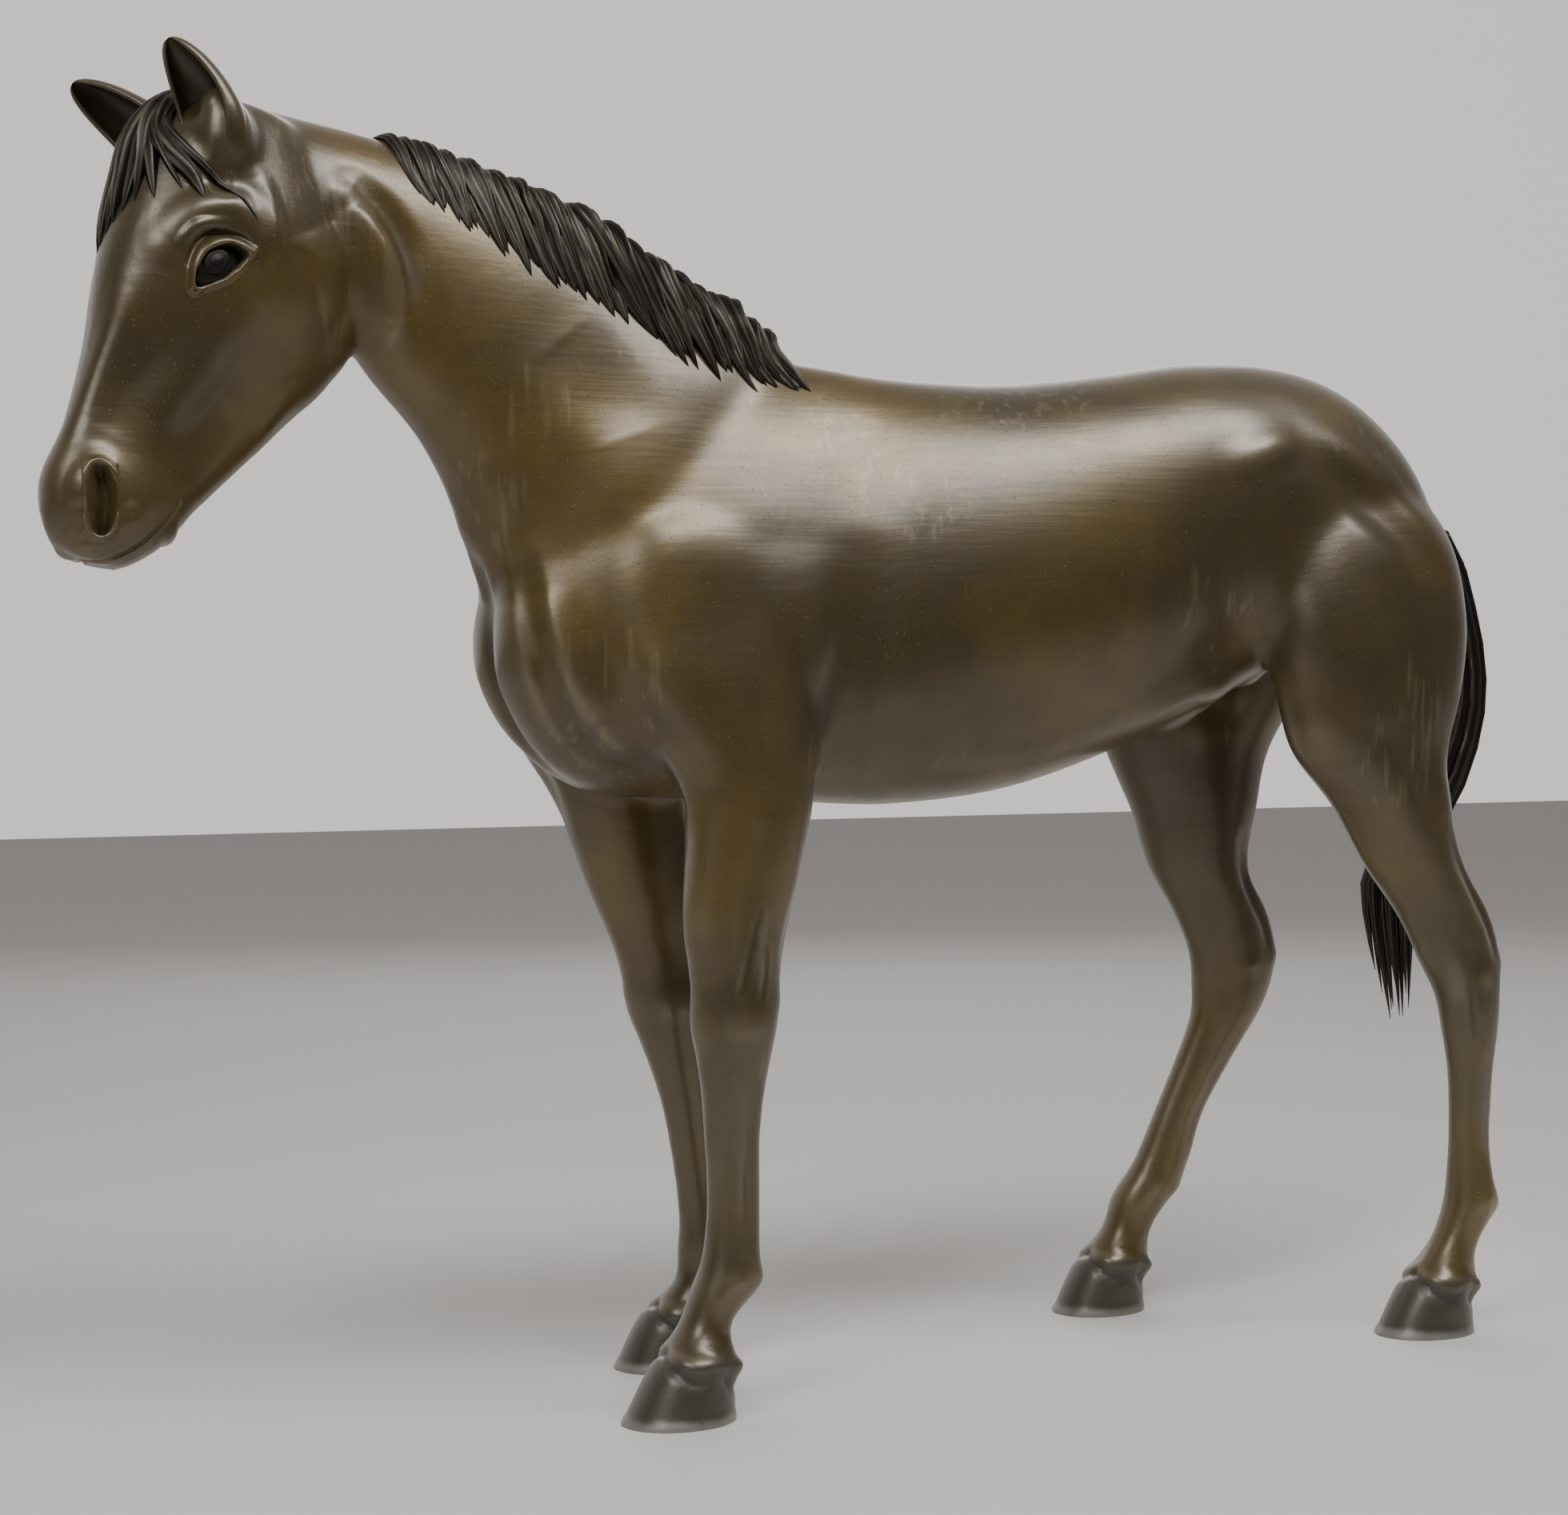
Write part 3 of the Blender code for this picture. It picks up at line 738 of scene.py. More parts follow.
@dataclass(frozen=True)
class BodyPatina:
    """Olive-brown patina over bronze, waxed and rubbed on the high places.

    Args:
        name: The material's name.
        brown: The main colour.
        gold: The thin, warmer patina.
        shade: The colour that gathers in the hollows.
        rubbed: The worn metal on edges.
        hoof: The hooves' darker grey.
        dust: The pale wear at the hooves' lower rims.
        sheen: The roughness of the waxed surface.
        metal: How metallic the patina looks.
        wax: How much wax lies on it.
        wax_roughness: The wax's roughness.
        cloud_scale: Gold patches a metre.
        mottle_scale: Mottles a metre.
        scratch_scale: Scratches a metre.
        hairline_scale: Hairlines a metre.
        speck_scale: Specks a metre.
        patches: Where a patch's noise turns from brown to gold.
        mottling: How strongly the mottles darken the colour.
        pooling: How strongly shade gathers in the hollows.
        rubbing: How strongly the high places are rubbed.
        scratching: How strongly the scratches show.
        specking: How strongly the specks show.
        greying: How strongly the hooves' grey covers the brown.
        dusting: How strongly the dust covers the hooves' rims.
        depth: The fine relief's depth, in metres.
        relief: How strongly the relief shows.
    """

    name: str = "body_patina"
    brown: tuple = linear(74, 62, 38)
    gold: tuple = linear(98, 79, 37)
    shade: tuple = linear(40, 33, 23)
    rubbed: tuple = linear(134, 122, 96)
    hoof: tuple = linear(62, 60, 56)
    dust: tuple = linear(150, 148, 142)
    sheen: float = 0.37
    metal: float = 0.36
    wax: float = 0.6
    wax_roughness: float = 0.28
    cloud_scale: float = 9.0
    mottle_scale: float = 60.0
    scratch_scale: float = 260.0
    hairline_scale: float = 420.0
    speck_scale: float = 900.0
    patches: Pair = (0.42, 0.66)
    mottling: float = 0.28
    pooling: float = 0.6
    rubbing: float = 0.55
    scratching: float = 0.28
    specking: float = 0.5
    greying: float = 0.75
    dusting: float = 0.6
    depth: float = 0.0008
    relief: float = 0.42

    def material(self) -> bpy.types.Material:
        """Builds the material.

        Returns:
            The material.
        """
        shader = Shader(self.name)
        clouds = shader.noise(self.cloud_scale, 3.0)
        mottle = shader.noise(self.mottle_scale, 5.0)
        worn, hollow, hoof = (shader.attribute(name) for name in ("worn", "hollow", "hoof"))
        scratches = shader.noise(self.scratch_scale, 3.0, (1.0, 1.0, 0.07), 0.7)
        scratches = scratches * shader.noise(14.0, 2.0).ramp(0.42, 0.66)
        hairlines = shader.noise(self.hairline_scale, 2.0, (0.05, 1.0, 1.0), -0.35)
        specks = shader.noise(self.speck_scale, 1.0).ramp(0.70, 0.76)
        rim = (shader.attribute("rim") * (mottle + 0.35)).ramp(0.35, 0.8)
        layers = (
            (clouds.ramp(*self.patches), self.gold),
            (mottle.ramp(0.35, 0.75) * self.mottling, self.shade),
            (hollow * self.pooling, self.shade),
            (worn * (mottle * 0.6 + 0.4) * self.rubbing, self.rubbed),
            (scratches.ramp(0.50, 0.68) * self.scratching, self.rubbed),
            (specks * self.specking, self.shade),
            (hoof * self.greying, self.hoof),
            (rim * self.dusting, self.dust),
        )
        colour = self.brown
        for share, laid_on in layers:
            colour = shader.mix(share, colour, laid_on)
        rough = mottle * 0.14 + hairlines * 0.10 + (self.sheen - 0.12) + hollow * 0.22
        rough = rough - worn * 0.05 + hoof * 0.10 + rim * 0.15
        relief = mottle * 0.45 + hairlines * 0.30 + scratches * 0.40 - specks * 0.8
        shader.bump(relief, self.depth, self.relief)
        return shader.finish(
            base_color=colour,
            roughness=rough,
            metallic=self.metal,
            coat_weight=self.wax,
            coat_roughness=self.wax_roughness,
        )


@dataclass(frozen=True)
class HairPatina:
    """Near-black brown patina in the hair, with its ridges rubbed lighter.

    Args:
        name: The material's name.
        dark: The colour between the strands.
        strand: The colour on the strands.
        rubbed: The worn metal on the highest ridges.
        rubbing: How strongly the ridges are rubbed.
        metal: How metallic the patina looks.
        mottle_scale: Mottles a metre.
    """

    name: str = "hair_patina"
    dark: tuple = linear(30, 26, 22)
    strand: tuple = linear(70, 64, 53)
    rubbed: tuple = linear(156, 150, 134)
    rubbing: float = 0.55
    metal: float = 0.6
    mottle_scale: float = 120.0

    def material(self) -> bpy.types.Material:
        """Builds the material.

        Returns:
            The material.
        """
        shader = Shader(self.name)
        ridge = shader.attribute("worn")
        mottle = shader.noise(self.mottle_scale, 5.0)
        colour = shader.mix(ridge.ramp(0.25, 0.8), self.dark, self.strand)
        highest = (ridge * mottle).ramp(0.42, 0.72)
        colour = shader.mix(highest * self.rubbing, colour, self.rubbed)
        shader.bump(mottle, 0.0004, 0.4)
        return shader.finish(
            base_color=colour, roughness=mottle * 0.2 + 0.36, metallic=self.metal
        )


@dataclass(frozen=True)
class RawBronze:
    """Unpatinated cast bronze of the inner collars.

    Args:
        name: The material's name.
        bright: Clean metal.
        dull: Oxidised metal.
        mottle_scale: Mottles a metre.
    """

    name: str = "raw_bronze"
    bright: tuple = linear(190, 152, 96)
    dull: tuple = linear(120, 92, 60)
    mottle_scale: float = 180.0

    def material(self) -> bpy.types.Material:
        """Builds the material.

        Returns:
            The material.
        """
        shader = Shader(self.name)
        mottle = shader.noise(self.mottle_scale, 6.0)
        colour = shader.mix(mottle.ramp(0.35, 0.65), self.bright, self.dull)
        shader.bump(mottle, 0.0004, 0.6)
        return shader.finish(base_color=colour, roughness=mottle * 0.3 + 0.3, metallic=1.0)


@dataclass(frozen=True)
class StudioPaper:
    """The pale floor, with painted shade in front of the horse's left side.

    Args:
        name: The material's name.
        pale: Its colour.
        near: The darker colour of the painted shade in front of the horse's left side.
        grain_scale: Fibres a metre.
        turns_pale: Over which depths, in metres, the floor turns from the painted shade to pale.
    """

    name: str = "studio_paper"
    pale: tuple = (0.62, 0.60, 0.57, 1.0)
    near: tuple = (0.12, 0.11, 0.10, 1.0)
    grain_scale: float = 700.0
    turns_pale: Pair = (-1.0, -0.45)

    def material(self) -> bpy.types.Material:
        """Builds the material.

        Returns:
            The material.
        """
        shader = Shader(self.name)
        grain = shader.noise(self.grain_scale, 3.0)
        darker = tuple(channel * 0.94 for channel in self.pale[:3]) + (1.0,)
        paper = shader.mix(grain * 0.5, self.pale, darker)
        # Painted shade: the floor darkens in front of the horse's left side, so that less light bounces
        # up onto that side.
        depth = shader.node("ShaderNodeSeparateXYZ", {}, {"Vector": shader.object_place}, "Y")
        colour = shader.mix(depth.ramp(*self.turns_pale), self.near, paper)
        return shader.finish(base_color=colour, roughness=grain * 0.1 + 0.75)


# ---------------------------------------------------------------------- the skin


@dataclass(frozen=True)
class HeadFrame:
    """The turned head's own directions.

    Args:
        origin: The poll, as a drawn point.
        turn: How far the head is turned to its left, in degrees.
        slope: How far the face slopes forward of upright, in degrees.
    """

    origin: Triple = (-322.0, -33.0, 490.0)
    turn: float = 20.0
    slope: float = 19.0

    def point(self, down: float, out: float, left: float) -> Vector:
        """Finds a point by its place on the head.

        Args:
            down: How far down the face it lies from the poll.
            out: How far out from the face.
            left: How far to the head's left.

        Returns:
            The drawn point.
        """
        turn = math.radians(self.turn)
        slope = math.radians(self.slope)
        forward = Vector((-math.cos(turn), -math.sin(turn), 0.0))
        leftward = Vector((math.sin(turn), -math.cos(turn), 0.0))
        face = forward * math.sin(slope) - Vector((0.0, 0.0, math.cos(slope)))
        brow = forward * math.cos(slope) + Vector((0.0, 0.0, math.sin(slope)))
        return Vector(self.origin) + face * down + brow * out + leftward * left


HEAD = HeadFrame()


class Leg(Enum):
    """The four legs, by their nodes' names."""

    FORE_LEFT = "foreleg_left"
    FORE_RIGHT = "foreleg_right"
    HIND_LEFT = "hindleg_left"
    HIND_RIGHT = "hindleg_right"

    def is_fore(self) -> bool:
        """Whether it is a foreleg."""
        return self.value.startswith("fore")

    def is_left(self) -> bool:
        """Whether it is a left leg."""
        return self.value.endswith("left")


@dataclass(frozen=True)
class Stations:
    """The horse's sections, in drawn millimetres.

    Args:
        trunk: x, top z, bottom z, half width and taper, from breast to buttocks.
        neck: Crest x and z, underside x and z, middle y, half width and taper.
        head: Distance down the face, brow side, jaw side, half width and taper.
        left_ear: Where its root swells: down the face, out, to the left, and the radius.
        right_ear: The same for the right ear, with distances to the right.
        ear_lean: How far an ear root's rings reach ahead, as a share of the radius.
        legs: For each leg, from the top down: z, middle x and y, half length, half width.
    """

    trunk: tuple = (
        (-201, 342, 282, 20, -0.1), (-188, 366, 256, 33, -0.15), (-165, 392, 240, 44, -0.2),
        (-125, 410, 236, 50, -0.3), (-80, 413, 234, 54, -0.35), (-35, 408, 232, 58, -0.22),
        (15, 407, 237, 59, -0.1), (60, 412, 250, 57, -0.05), (105, 419, 268, 54, -0.05),
        (145, 419, 287, 51, -0.1), (180, 409, 298, 46, -0.1), (207, 385, 304, 36, 0.0),
        (227, 348, 318, 17, 0.0),
    )
    neck: tuple = (
        (-66, 406, -150, 262, 0, 34, -0.3), (-94, 423, -192, 300, 0, 38, -0.3),
        (-128, 440, -207, 327, 0, 34, -0.3), (-166, 461, -215, 350, -1, 30, -0.28),
        (-202, 477, -229, 376, -4, 27, -0.25), (-238, 488, -249, 398, -8, 25, -0.15),
        (-272, 493, -261, 414, -14, 23, 0.0), (-300, 496, -280, 440, -22, 20, 0.0),
    )
    head: tuple = (
        (-10, -12, -46, 14, 0.0), (0, 2, -58, 20, 0.05), (15, 9, -74, 25, 0.08),
        (34, 12, -87, 29, 0.1), (55, 13, -91, 29, 0.2), (75, 11, -85, 24, 0.22),
        (92, 8, -75, 19, 0.2), (110, 7, -65, 16, 0.1), (127, 7, -55, 15, 0.05),
        (146, 9, -44, 17, 0.05), (160, 4, -36, 14, 0.0), (169, -5, -26, 8, 0.0),
    )
    left_ear: tuple = (
        (28, -18, 12, 12), (15, -13, 16, 13), (6, -8, 18, 11), (0, -4, 18, 8), (-5, 0, 18, 4),
    )
    right_ear: tuple = ((30, -20, 12, 12), (18, -15, 14, 11), (10, -12, 15, 7), (7, -11, 15, 3))
    ear_lean: float = 0.7
    legs: dict = field(
        default_factory=lambda: {
            Leg.FORE_LEFT: (
                (375, -112, -12, 20, 8), (340, -124, -30, 40, 18), (300, -124, -37, 44, 19),
                (262, -114, -41, 34, 21), (237, -111, -43, 26, 20), (190, -117, -43, 21, 16),
                (165, -118, -43, 17, 14), (148, -118, -43, 16, 14.5), (130, -119, -43, 13, 12),
                (108, -120, -43, 10.5, 8.5), (80, -120, -43, 9.8, 7.8),
                (60, -121, -43, 11, 9.5), (48, -124, -43, 13, 11.5), (35, -132, -43, 9.8, 10),
                (23, -138, -46, 15, 14.5), (13, -141, -46.5, 18.5, 16),
                (0, -144.5, -47, 22, 18), (-12, -148, -47.5, 25, 20),
            ),
            Leg.FORE_RIGHT: (
                (375, -125, 12, 20, 8), (340, -142, 30, 38, 18), (300, -148, 34, 40, 19),
                (262, -145, 36, 34, 21), (237, -138, 37, 28, 20), (190, -125, 37, 22, 16),
                (165, -121, 37, 17, 14), (148, -118, 37, 16, 14.5), (130, -115, 37, 13, 12),
                (108, -110, 37, 11, 8.5), (80, -106, 37, 10, 7.8), (60, -103, 37, 11, 9.5),
                (48, -102, 37, 13, 11.5), (35, -106, 37, 9.8, 10), (23, -114, 40, 15, 14.5),
                (13, -117, 40.5, 18.5, 16), (0, -120, 41, 21.5, 18),
                (-12, -123, 41.5, 24.5, 20),
            ),
            Leg.HIND_LEFT: (
                (390, 150, -12, 34, 8), (350, 167, -32, 47, 20), (310, 171, -39, 50, 24),
                (275, 173, -40, 43.5, 24), (251, 173, -40, 36.5, 22), (228, 183, -40, 26.5, 19),
                (203, 194, -40, 23, 16), (180, 209, -40, 21.5, 13), (160, 217, -40, 19, 11.5),
                (145, 221, -40, 14.5, 11), (130, 222, -40, 12.5, 10), (112, 222, -40, 9.5, 8.2),
                (85, 221, -40, 8.3, 7.4), (67, 221, -40, 9.2, 9.2), (54, 221, -40, 11, 11),
                (38, 213, -39, 9.8, 9.8), (23, 205, -38, 15, 14), (13, 202, -37.5, 18.5, 15.5),
                (0, 199, -37, 22, 17), (-12, 196, -36.5, 25, 19),
            ),
            Leg.HIND_RIGHT: (
                (390, 140, 12, 34, 8), (350, 150, 32, 54, 20), (310, 146, 39, 57, 24),
                (275, 137, 42, 49, 24), (251, 133, 44, 39, 22), (225, 136, 45, 30, 19),
                (200, 138, 46, 24, 16), (180, 149, 47, 23, 13), (162, 156, 48, 21.5, 11.5),
                (148, 157, 49, 20, 11), (133, 154, 50, 17, 10), (114, 144.5, 52, 14, 8.4),
                (88, 131, 54, 11.5, 7.6), (66, 123, 56, 13, 9.2), (51, 114, 58, 14, 11),
                (37, 107, 59, 11, 9.8), (23, 98.5, 60, 15, 14), (13, 95.5, 60.5, 18, 15.5),
                (0, 92.5, 61, 21, 17), (-12, 89.5, 61.5, 24, 19),
            ),
        }
    )

    def trunk_tube(self) -> Tube:
        """The trunk: upright rings through the barrel."""
        rings = []
        for x, top, bottom, half_width, taper in self.trunk:
            middle = Vector((x, 0.0, (top + bottom) / 2))
            up = Vector((0, 0, (top - bottom) / 2))
            rings.append(Ring(middle, up, Vector((0, grown(half_width), 0)), taper))
        return Tube(tuple(rings))

    def neck_tube(self) -> Tube:
        """The neck: rings from the crest to the underside, up to the poll."""
        rings = []
        for crest_x, crest_z, under_x, under_z, y, half_width, taper in self.neck:
            crest = Vector((crest_x, y, crest_z))
            under = Vector((under_x, y, under_z))
            side = Vector((0, grown(half_width), 0))
            rings.append(Ring((crest + under) / 2, (crest - under) / 2, side, taper))
        return Tube(tuple(rings))

    def head_tube(self) -> Tube:
        """The head: rings square to the face, from the poll to the lips."""
        rings = []
        for down, brow, jaw, half_width, taper in self.head:
            middle = (brow + jaw) / 2
            centre = HEAD.point(down, middle, 0.0)
            side = HEAD.point(down, middle, -grown(half_width)) - centre
            above = HEAD.point(down, middle + grown((brow - jaw) / 2), 0.0) - centre
            rings.append(Ring(centre, above, side, taper))
        return Tube(tuple(rings))

    def ear_root(self, side: int) -> Tube:
        """Swells the head where an ear grows.

        Args:
            side: 1 for the left ear or -1 for the right.

        Returns:
            The swelling.
        """
        rings = []
        for down, out, left, radius in self.left_ear if side > 0 else self.right_ear:
            centre = HEAD.point(down, out, left * side)
            lean = radius * self.ear_lean
            ahead = HEAD.point(down - lean, out - lean, left * side) - centre
            across = HEAD.point(down, out, left * side + radius) - centre
            rings.append(Ring(centre, ahead, across))
        return Tube(tuple(rings))

    def leg_tube(self, leg: Leg) -> Tube:
        """Stacks level rings down a leg, whose up half axis points forward.

        Args:
            leg: The leg.

        Returns:
            The leg.
        """
        rings = []
        for z, x, y, half_length, half_width in self.legs[leg]:
            ahead = Vector((-grown(half_length), 0, 0))
            rings.append(Ring(Vector((x, y, z)), ahead, Vector((0, grown(half_width), 0))))
        return Tube(tuple(rings))


STATIONS = Stations()


def mirrored(points: Sequence[tuple[float, ...]], side: int) -> list[tuple[float, ...]]:
    """Points with their last number turned to the given side."""
    return [(*point[:-1], point[-1] * side) for point in points]


@dataclass
class Skin:
    """The horse's whole surface, modelled before it is cut into castings.

    Args:
        grain: The clay's grain, in metres.
        melting: How many times the joins between the limbs are smoothed.
        softening: How many times the trunk's muscles are smoothed.
        leg_softening: How many times the legs' muscles are smoothed.
        leg_top: Between which heights the legs' smoothing fades out, in millimetres.
        trunk_foot: Between which heights the trunk's smoothing fades in.
        trunk_front: Between which x places the trunk's smoothing fades in.
        fore_step: How far the right shoulder stands ahead of the left, in millimetres.
        hind_step: How far the right thigh stands ahead of the left, in millimetres.
        step_foot: The height up to which the right legs' full step holds.
        step_height: Over what height above it the step fades out.
    """

    grain: float = 0.0016
    melting: int = 14
    softening: int = 26
    leg_softening: int = 7
    leg_top: Pair = (200.0, 228.0)
    trunk_foot: Pair = (228.0, 246.0)
    trunk_front: Pair = (-262.0, -240.0)
    fore_step: float = 24.0
    hind_step: float = 38.0
    step_foot: float = 262.0
    step_height: float = 118.0

    def build(self) -> bpy.types.Object:
        """Makes the modelled skin.

        Returns:
            The skin, with its soles cut flat on the floor.
        """
        tubes = [STATIONS.trunk_tube(), STATIONS.neck_tube(), STATIONS.head_tube()]
        tubes += [STATIONS.leg_tube(leg) for leg in Leg]
        tubes += [STATIONS.ear_root(side) for side in (-1, 1)]
        skin = join([tube.skin("skin") for tube in tubes], "skin")
        apply_modifier(skin, "REMESH", mode="VOXEL", voxel_size=self.grain)
        clay = Clay(skin.data)
        clay.relax(self.melting)
        self.model_trunk(clay)
        for leg in Leg:
            self.model_leg(clay, leg)
        clay.write()
        clay.relax(self.leg_softening, mask=1.0 - smoothstep(*self.leg_top, clay.points[:, 2]))
        for leg in Leg:
            self.engrave_leg(clay, leg)
            self.model_hoof(clay, leg)
        clay.write()
        clay.relax(2)
        self.model_neck(clay)
        clay.write()
        cut(skin, (0, 0, 0), (0, 0, 1), keep_ahead=True)
        return skin

    def run(self, clay: Clay, side: int, points: Sequence[Pair]) -> list[Vector]:
        """Pins side-view points to one side of the trunk.

        Args:
            clay: The skin.
            side: -1 for the left side or 1 for the right side.
            points: Drawn x and z on the left side.

        Returns:
            The points on the skin, moved to suit the right legs' stance.
        """
        pinned = []
        for x, z in points:
            low = 1.0 - min(max((z - self.step_foot) / self.step_height, 0.0), 1.0)
            step = self.fore_step if x < 0 else self.hind_step
            shift = -step * low if side > 0 else 0.0
            pinned.append(clay.pin(x + shift, z, side))
        return pinned

    def model_trunk(self, clay: Clay) -> None:
        """Models the muscles and hollows of both sides of the trunk.

        Args:
            clay: The skin.
        """
        muscles = (
            (((-152, 388), (-152, 362), (-148, 335), (-142, 305)), 50, 2.8),
            (((-98, 335), (-98, 300), (-106, 268)), 36, 3.4),
            (((-148, 296), (-146, 270), (-140, 245)), 26, 2.0),
            (((114, 384), (122, 368)), 26, 3.6),
            (((140, 345), (150, 315), (158, 285), (160, 255)), 44, 3.6),
            (((132, 268), (142, 246)), 20, 1.6),
            (((-40, 330), (0, 320), (50, 322)), 52, 1.8),
            (((-178, 376), (-184, 350), (-184, 326)), 28, -1.4),
            (((98, 345), (106, 318), (106, 298), (88, 282)), 28, -4.4),
            (((128, 362), (132, 342), (126, 320)), 20, -1.8),
            (((-62, 392), (-60, 366), (-64, 340)), 26, -1.6),
            (((172, 322), (180, 290), (184, 255)), 15, -1.4),
            (((-66, 326), (-72, 300), (-78, 274), (-84, 250)), 20, -3.8),
            (((148, 371), (168, 354), (188, 330)), 13, -3.0),
            (((150, 386), (178, 368), (200, 338)), 13, 1.8),
        )
        for side in (-1, 1):
            for path, width, depth in muscles:
                clay.stroke(self.run(clay, side, path), width, depth)
            clay.write()
        trunk = smoothstep(*self.trunk_foot, clay.points[:, 2])
        trunk = trunk * smoothstep(*self.trunk_front, clay.points[:, 0])
        clay.relax(self.softening, mask=trunk)
        for side in (-1, 1):
            triceps = ((-74, 305), (-79, 280), (-83, 258), (-89, 238))
            clay.stroke(self.run(clay, side, triceps), 7, -1.6)
            fold = ((78, 268), (96, 276), (112, 272), (124, 260))
            clay.stroke(self.run(clay, side, fold), 11, 1.6)
            self.model_chest(clay, side)
        sheath = [Vector((84, 0, 262)), Vector((104, 0, 262)), Vector((126, 0, 262))]
        clay.stroke(sheath, 17, 6.0)
        clay.stroke([Vector((140, side * 10, 276)) for side in (-1, 1)], 14, 9.0)
        clay.stroke([Vector((142, 0, 262)), Vector((142, 0, 284))], 4, -2.5)

    def model_chest(self, clay: Clay, side: int) -> None:
        """Models one breast muscle, its edges and the groove between the two.

        Args:
            clay: The skin.
            side: -1 for the left side or 1 for the right side.
        """
        ahead = -8.0 if side > 0 else 0.0
        swell = ((-196, 20, 315), (-190, 24, 285), (-174, 26, 262))
        clay.stroke([Vector((x + ahead, side * y, z)) for x, y, z in swell], 30, 5.0)
        groove = ((-206, 335), (-207, 305), (-196, 270), (-176, 246))
        clay.stroke([Vector((x, 0, z)) for x, z in groove], 10, -2.2)
        run = ((-203, 326), (-199, 311), (-193, 292), (-186, 271), (-175, 254))
        run += ((-160, 242), (-143, 233))
        edge = [clay.nearest(Vector((x + ahead, side * 38, z))) for x, z in run]
        brim = [clay.nearest(Vector((x + ahead + 7, side * 44, z + 4))) for x, z in run]
        clay.stroke(brim, 15, 2.0)
        clay.stroke(edge, 9, -2.8)

    @staticmethod
    def leg_path(leg: Leg, points: Sequence[Pair], turn: int = 1) -> list[Vector]:
        """Points on a leg.

        Args:
            leg: The leg.
            points: Heights in millimetres, and degrees from the front towards the outer side.
            turn: 1 for the outer side or -1 to turn the points to the inner side.

        Returns:
            The points on the leg's oval sections.
        """
        tube = STATIONS.leg_tube(leg)
        heights = [ring.centre.z for ring in tube.rings]
        outer = -1.0 if leg.is_left() else 1.0
        path = []
        for z, degrees in points:
            position = float(np.interp(-z, [-height for height in heights], range(len(heights))))
            path.append(tube.at(position).point(math.radians(degrees * turn) * outer))
        return path

    def model_hoof(self, clay: Clay, leg: Leg) -> None:
        """Models the coronet, the heel bulbs and the flat of the hoof wall.

        Args:
            clay: The skin.
            leg: The leg.
        """
        pad = ((25, 40), (23, 75), (21, 110), (21, 140))
        bulb = ((24, 156), (16, 158))
        coronet = ((27, 0), (22.5, 40), (17, 88), (20, 110), (13, 140), (12, 165))
        sole = [(1.0, angle) for angle in range(0, 181, 20)]
        for turn in (-1, 1):
            clay.stroke(self.leg_path(leg, pad, turn), 6.5, 2.0)
            clay.stroke(self.leg_path(leg, bulb, turn), 9.0, 4.2)
            clay.stroke(self.leg_path(leg, coronet, turn), 3.2, -1.5, taper=False)
            clay.stroke(self.leg_path(leg, sole, turn), 3.0, 0.7, taper=False)
        clay.stroke(self.leg_path(leg, ((28, 180), (6, 180))), 4.0, -2.4)

    def model_leg(self, clay: Clay, leg: Leg) -> None:
        """Models the muscles, joints and tendons of one leg above its hoof.

        Args:
            clay: The skin.
            leg: The leg.
        """
        both, outer = (1, -1), (1,)
        fore = (
            (((228, 40), (205, 30), (185, 20)), 14, 1.6, outer),
            (((232, 120), (205, 125), (185, 130)), 13, 1.8, outer),
            (((222, 85), (198, 88), (176, 92), (158, 98)), 5, -1.3, outer),
            (((198, 145), (176, 150)), 5, -1.1, outer),
            (((162, 0), (150, 0), (138, 0)), 15, 1.6, outer),
            (((158, 85), (142, 85)), 13, 1.2, both),
            (((166, 178), (152, 180)), 11, 1.8, outer),
            (((128, 120), (108, 122), (84, 122), (66, 124)), 4.5, -1.5, both),
            (((120, 180), (92, 180), (68, 180)), 5, 1.1, outer),
            (((56, 150), (48, 160)), 7, 2.2, both),
            (((54, 90), (50, 90)), 6, 1.2, both),
            (((41, 180), (33, 180)), 8, -2.0, outer),
        )
        hind = (
            (((248, 55), (226, 60), (206, 62)), 16, 2.0, outer),
            (((240, 130), (218, 135)), 14, 1.4, outer),
            (((212, 128), (192, 132), (174, 136), (160, 136)), 6, -2.6, both),
            (((196, 178), (176, 180), (160, 180)), 6, 1.8, outer),
            (((162, 178), (154, 180)), 7, 2.2, outer),
            (((165, 60), (150, 50), (140, 40)), 8, 1.4, outer),
            (((156, 100), (150, 100)), 6, 1.2, both),
            (((124, 118), (104, 120), (82, 122), (70, 122)), 4.5, -1.5, both),
            (((118, 180), (92, 180), (72, 180)), 5, 1.1, outer),
            (((58, 155), (50, 162)), 7, 2.0, both),
            (((57, 90), (53, 90)), 6, 1.2, both),
            (((42, 180), (33, 180)), 8, -1.8, outer),
        )
        for path, width, depth, turns in fore if leg.is_fore() else hind:
            for turn in turns:
                clay.stroke(self.leg_path(leg, path, turn), width, depth)

    def engrave_leg(self, clay: Clay, leg: Leg) -> None:
        """Cuts the narrow grooves between one leg's tendons.

        Args:
            clay: The skin.
            leg: The leg.
        """
        fore = (
            (((196, 100), (180, 95), (163, 84)), 1.9, 1.5),
            (((182, 112), (172, 118), (158, 112)), 1.7, 1.2),
            (((108, 112), (88, 124), (68, 128)), 1.6, 1.2),
            (((108, 112), (90, 104), (74, 100)), 1.5, 0.9),
        )
        hind = (
            (((206, 118), (186, 128), (168, 132)), 1.9, 1.1),
            (((114, 116), (94, 126), (74, 128)), 1.6, 1.1),
            (((152, 70), (140, 66), (128, 70)), 1.6, 0.7),
        )
        for path, width, depth in fore if leg.is_fore() else hind:
            clay.crease(self.leg_path(leg, path), width, depth)

